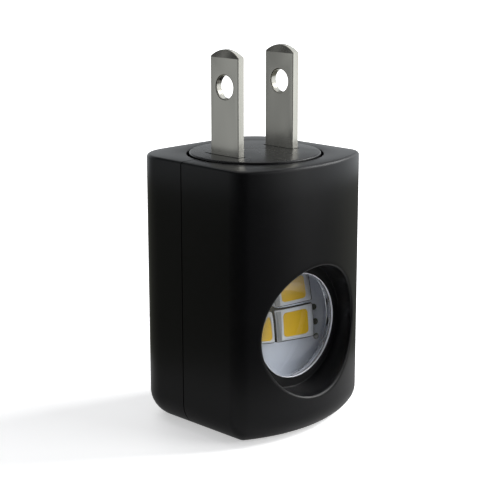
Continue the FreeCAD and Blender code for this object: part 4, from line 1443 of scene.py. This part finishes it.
@dataclass
class Studio:
    """The floor, the world, the gloss screen, the lamps and the camera, in metres where not said."""

    eye_mm: Triple = (-161.81, -160.37, 84.60)
    heading_degrees: float = 44.954
    pitch_degrees: float = 13.770
    focal_pixels: float = 1390.23
    frame_pixels: float = 500.0
    sensor_mm: float = 36.0
    near_clip: float = 0.01
    floor_reach: float = 3.0
    floor_drop: float = 2e-5
    floor_colour: str = "#f2f2f2"
    floor_mirrored: str = "#8a8a8a"
    floor_roughness: Pair = (0.85, 0.95)
    floor_specular: float = 0.1
    floor_patch_mm: float = 25.0
    floor_glossy_share: float = 0.3
    lift_from: Pair = (0.12, 0.46)
    lift_to: Pair = (0.5, 1.0)
    sky_colour: str = "#f4f6fa"
    sky_strength: float = 0.3
    screen_radius_mm: float = 42.0
    screen_foot_mm: float = 0.5
    screen_height_mm: float = 130.0
    screen_columns: int = 96
    screen_rows: int = 9
    screen_bands: tuple[Band, ...] = (
        Band(WARM, ((0.0, 0.05), (1.0, 0.05), (0.125, 0.0), (0.25, 0.02), (0.34, 0.09), (0.42, 0.2),
                    (0.53, 0.1), (0.63, 0.3), (0.76, 0.16), (0.875, 0.12))),
        Band(COOL, (*SIDE_LEVELS, (0.5, 1.0), (0.56, 0.8), (0.64, 0.6), (0.76, 0.9), *BACK_LEVELS), 34, 40),
        Band(COOL, (*SIDE_LEVELS, (0.5, 0.6), (0.58, 0.05), (0.67, 0.03), (0.74, 0.5), *BACK_LEVELS),
             53, 58),
        Band(COOL, (*HIGH_LEVELS, (0.375, 0.6), (0.5, 0.6), (0.58, 0.2), (0.67, 0.2), (0.74, 0.4),
                    *LINE_LEVELS), 62, 68),
        Band(COOL, (*HIGH_LEVELS, (0.375, 0.4), (0.5, 0.9), (0.58, 1.0), (0.7, 0.9), *LINE_LEVELS), 74, 86))
    lamp_aim: Triple = (0, 0, 0.02)
    lamps: tuple[Lamp, ...] = (
        Lamp("key", (0.50, -0.24, 0.38), 0.24, 5.2, mirrored=True),
        Lamp("back", (0.15, 0.50, 0.45), 0.5, 1.6),
        Lamp("front", (0.26, -0.46, 0.16), 0.3, 1.8, mirrored=True))

    def floor_material(self) -> bpy.types.Material:
        """White paper that glows more the farther it lies, and is greyer in gloss and through the lens.

        Returns:
            The material.
        """
        material, tree = new_material("floor_paper")
        place = add_node(tree, "TexCoord").outputs["Object"]
        noise = add_node(tree, "TexNoise", {"Vector": place, "Scale": 1 / (self.floor_patch_mm * MM)})
        gloss = add_node(tree, "MapRange", {"Value": noise.outputs["Fac"], "To Min": self.floor_roughness[0],
                                            "To Max": self.floor_roughness[1]})
        path = add_node(tree, "LightPath").outputs
        seen = add_node(tree, "Math", {0: path["Is Glossy Ray"], 1: self.floor_glossy_share},
                        operation="MULTIPLY")
        seen = add_node(tree, "Math", {0: path["Is Camera Ray"], 1: seen.outputs[0]}, operation="MAXIMUM")
        mirrored = add_node(tree, "Math", {0: path["Is Glossy Ray"], 1: path["Is Transmission Ray"]},
                            operation="MAXIMUM")
        colour = add_node(tree, "MixRGB", {"Fac": mirrored.outputs[0],
                                           "Color1": to_linear(self.floor_colour),
                                           "Color2": to_linear(self.floor_mirrored)})
        far = add_node(tree, "VectorMath", {0: place}, operation="LENGTH")
        fade = add_node(tree, "MapRange", {"Value": far.outputs["Value"], "From Min": self.lift_from[0],
                                           "From Max": self.lift_to[0], "To Min": self.lift_from[1],
                                           "To Max": self.lift_to[1]})
        glow = add_node(tree, "Math", {0: seen.outputs[0], 1: fade.outputs["Result"]}, operation="MULTIPLY")
        shader = add_node(tree, "BsdfPrincipled", {
            "Base Color": colour.outputs["Color"], "Roughness": gloss.outputs["Result"],
            "Specular IOR Level": self.floor_specular, "Emission Color": (1, 1, 1, 1),
            "Emission Strength": glow.outputs[0]})
        add_node(tree, "OutputMaterial", {"Surface": shader.outputs["BSDF"]})
        return material

    def floor(self) -> None:
        """A plain pale sheet that shows white and keeps the object's shadow."""
        corners = np.array([(-1, -1, 0), (1, -1, 0), (1, 1, 0), (-1, 1, 0)]) * self.floor_reach
        mesh = bpy.data.meshes.new("floor")
        mesh.from_pydata(corners - (0, 0, self.floor_drop), [], [(0, 1, 2, 3)])
        mesh.materials.append(self.floor_material())
        sheet = bpy.data.objects.new("floor", mesh)
        bpy.context.scene.collection.objects.link(sheet)

    def world(self) -> None:
        """White to the camera, in reflections and through the lens, and an even pale light otherwise."""
        world = bpy.data.worlds.new("studio")
        bpy.context.scene.world = world
        world.use_nodes = True
        tree = world.node_tree
        tree.nodes.clear()
        path = add_node(tree, "LightPath").outputs
        seen = path["Is Camera Ray"]
        for ray in ("Is Glossy Ray", "Is Transmission Ray"):
            seen = add_node(tree, "Math", {0: seen, 1: path[ray]}, operation="MAXIMUM").outputs[0]
        white = add_node(tree, "Background", {"Color": (1, 1, 1, 1), "Strength": 1.0})
        soft = add_node(tree, "Background", {"Color": to_linear(self.sky_colour),
                                             "Strength": self.sky_strength})
        mix = add_node(tree, "MixShader", {0: seen, 1: soft.outputs[0], 2: white.outputs[0]})
        add_node(tree, "OutputWorld", {"Surface": mix.outputs["Shader"]})

    def screen_material(self) -> bpy.types.Material:
        """The screen's light: a ramp over the share of a turn from the negative X axis, for each height.

        The bands of height blend into each other: dark beside the body of the housing, pale round its top,
        and broken by dark stretches beside the blades.

        Returns:
            The material.
        """
        material, tree = new_material("gloss_screen")
        axes = add_node(tree, "SeparateXYZ", {0: add_node(tree, "TexCoord").outputs["Object"]}).outputs
        angle = add_node(tree, "Math", {0: axes["Y"], 1: axes["X"]}, operation="ARCTAN2")
        turn = add_node(tree, "MapRange", {"Value": angle.outputs[0], "From Min": -math.pi,
                                           "From Max": math.pi}).outputs["Result"]
        colour = self.screen_bands[0].ramp(tree, turn)
        for band in self.screen_bands[1:]:
            rise = add_node(tree, "MapRange", {
                "Value": axes["Z"], "From Min": band.low_mm * MM, "From Max": band.high_mm * MM},
                interpolation_type="SMOOTHSTEP")
            colour = add_node(tree, "MixRGB", {"Fac": rise.outputs["Result"], "Color1": colour,
                                               "Color2": band.ramp(tree, turn)}).outputs["Color"]
        shader = add_node(tree, "Emission", {"Color": colour, "Strength": 1.0})
        add_node(tree, "OutputMaterial", {"Surface": shader.outputs["Emission"]})
        return material

    def screen(self) -> None:
        """A round screen that only gloss and the lens see, so that plastic and nickel mirror a studio."""
        heights = np.linspace(self.screen_foot_mm, self.screen_height_mm, self.screen_rows)
        profile = np.stack([np.full_like(heights, self.screen_radius_mm), heights], axis=1)
        wall = round_piece("gloss_screen", revolve(profile, self.screen_columns), sharp_degrees=30)
        wall.data.materials.append(self.screen_material())
        for ray in ("camera", "diffuse", "shadow", "volume_scatter"):
            setattr(wall, "visible_" + ray, False)

    def camera(self) -> None:
        """The photograph's camera: place, heading and pitch, and a lens from its focal length in pixels."""
        heading = math.radians(self.heading_degrees)
        pitch = math.radians(self.pitch_degrees)
        forward = Vector((math.cos(heading) * math.cos(pitch), math.sin(heading) * math.cos(pitch),
                          -math.sin(pitch)))
        camera = bpy.data.cameras.new("camera")
        camera.sensor_width = self.sensor_mm
        camera.lens = self.focal_pixels / self.frame_pixels * self.sensor_mm
        camera.clip_start = self.near_clip
        shot = bpy.data.objects.new("camera", camera)
        shot.location = Vector(self.eye_mm) * MM
        shot.rotation_euler = forward.to_track_quat("-Z", "Y").to_euler()
        bpy.context.scene.collection.objects.link(shot)
        bpy.context.scene.camera = shot

    def build(self) -> None:
        """Sets the stage."""
        bpy.context.scene.view_settings.view_transform = "Standard"
        self.floor()
        self.world()
        self.screen()
        for lamp in self.lamps:
            lamp.build(self.lamp_aim)
        self.camera()


def dress_nodes(palette: Palette) -> None:
    """Gives every CAD node that stays its finish.

    Args:
        palette: where the materials come from.
    """
    for name, finish in CAD_FINISHES.items():
        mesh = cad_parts[name].data
        mesh.materials.clear()
        mesh.materials.append(palette.get(finish))
        LOG.info("%s: dressed in %s", name, finish.name)


def main() -> None:
    """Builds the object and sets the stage."""
    logging.basicConfig(level=logging.INFO, format="%(message)s")
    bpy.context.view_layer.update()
    palette = Palette()
    dress_nodes(palette)
    for assembly in (Housing(), Plug(), Optics(), LightEngine()):
        for piece in assembly.pieces():
            piece.place(palette)
            LOG.info("%s: %d faces", piece.shape.name, len(piece.shape.data.polygons))
    Studio().build()


if __name__ == "__main__":
    main()
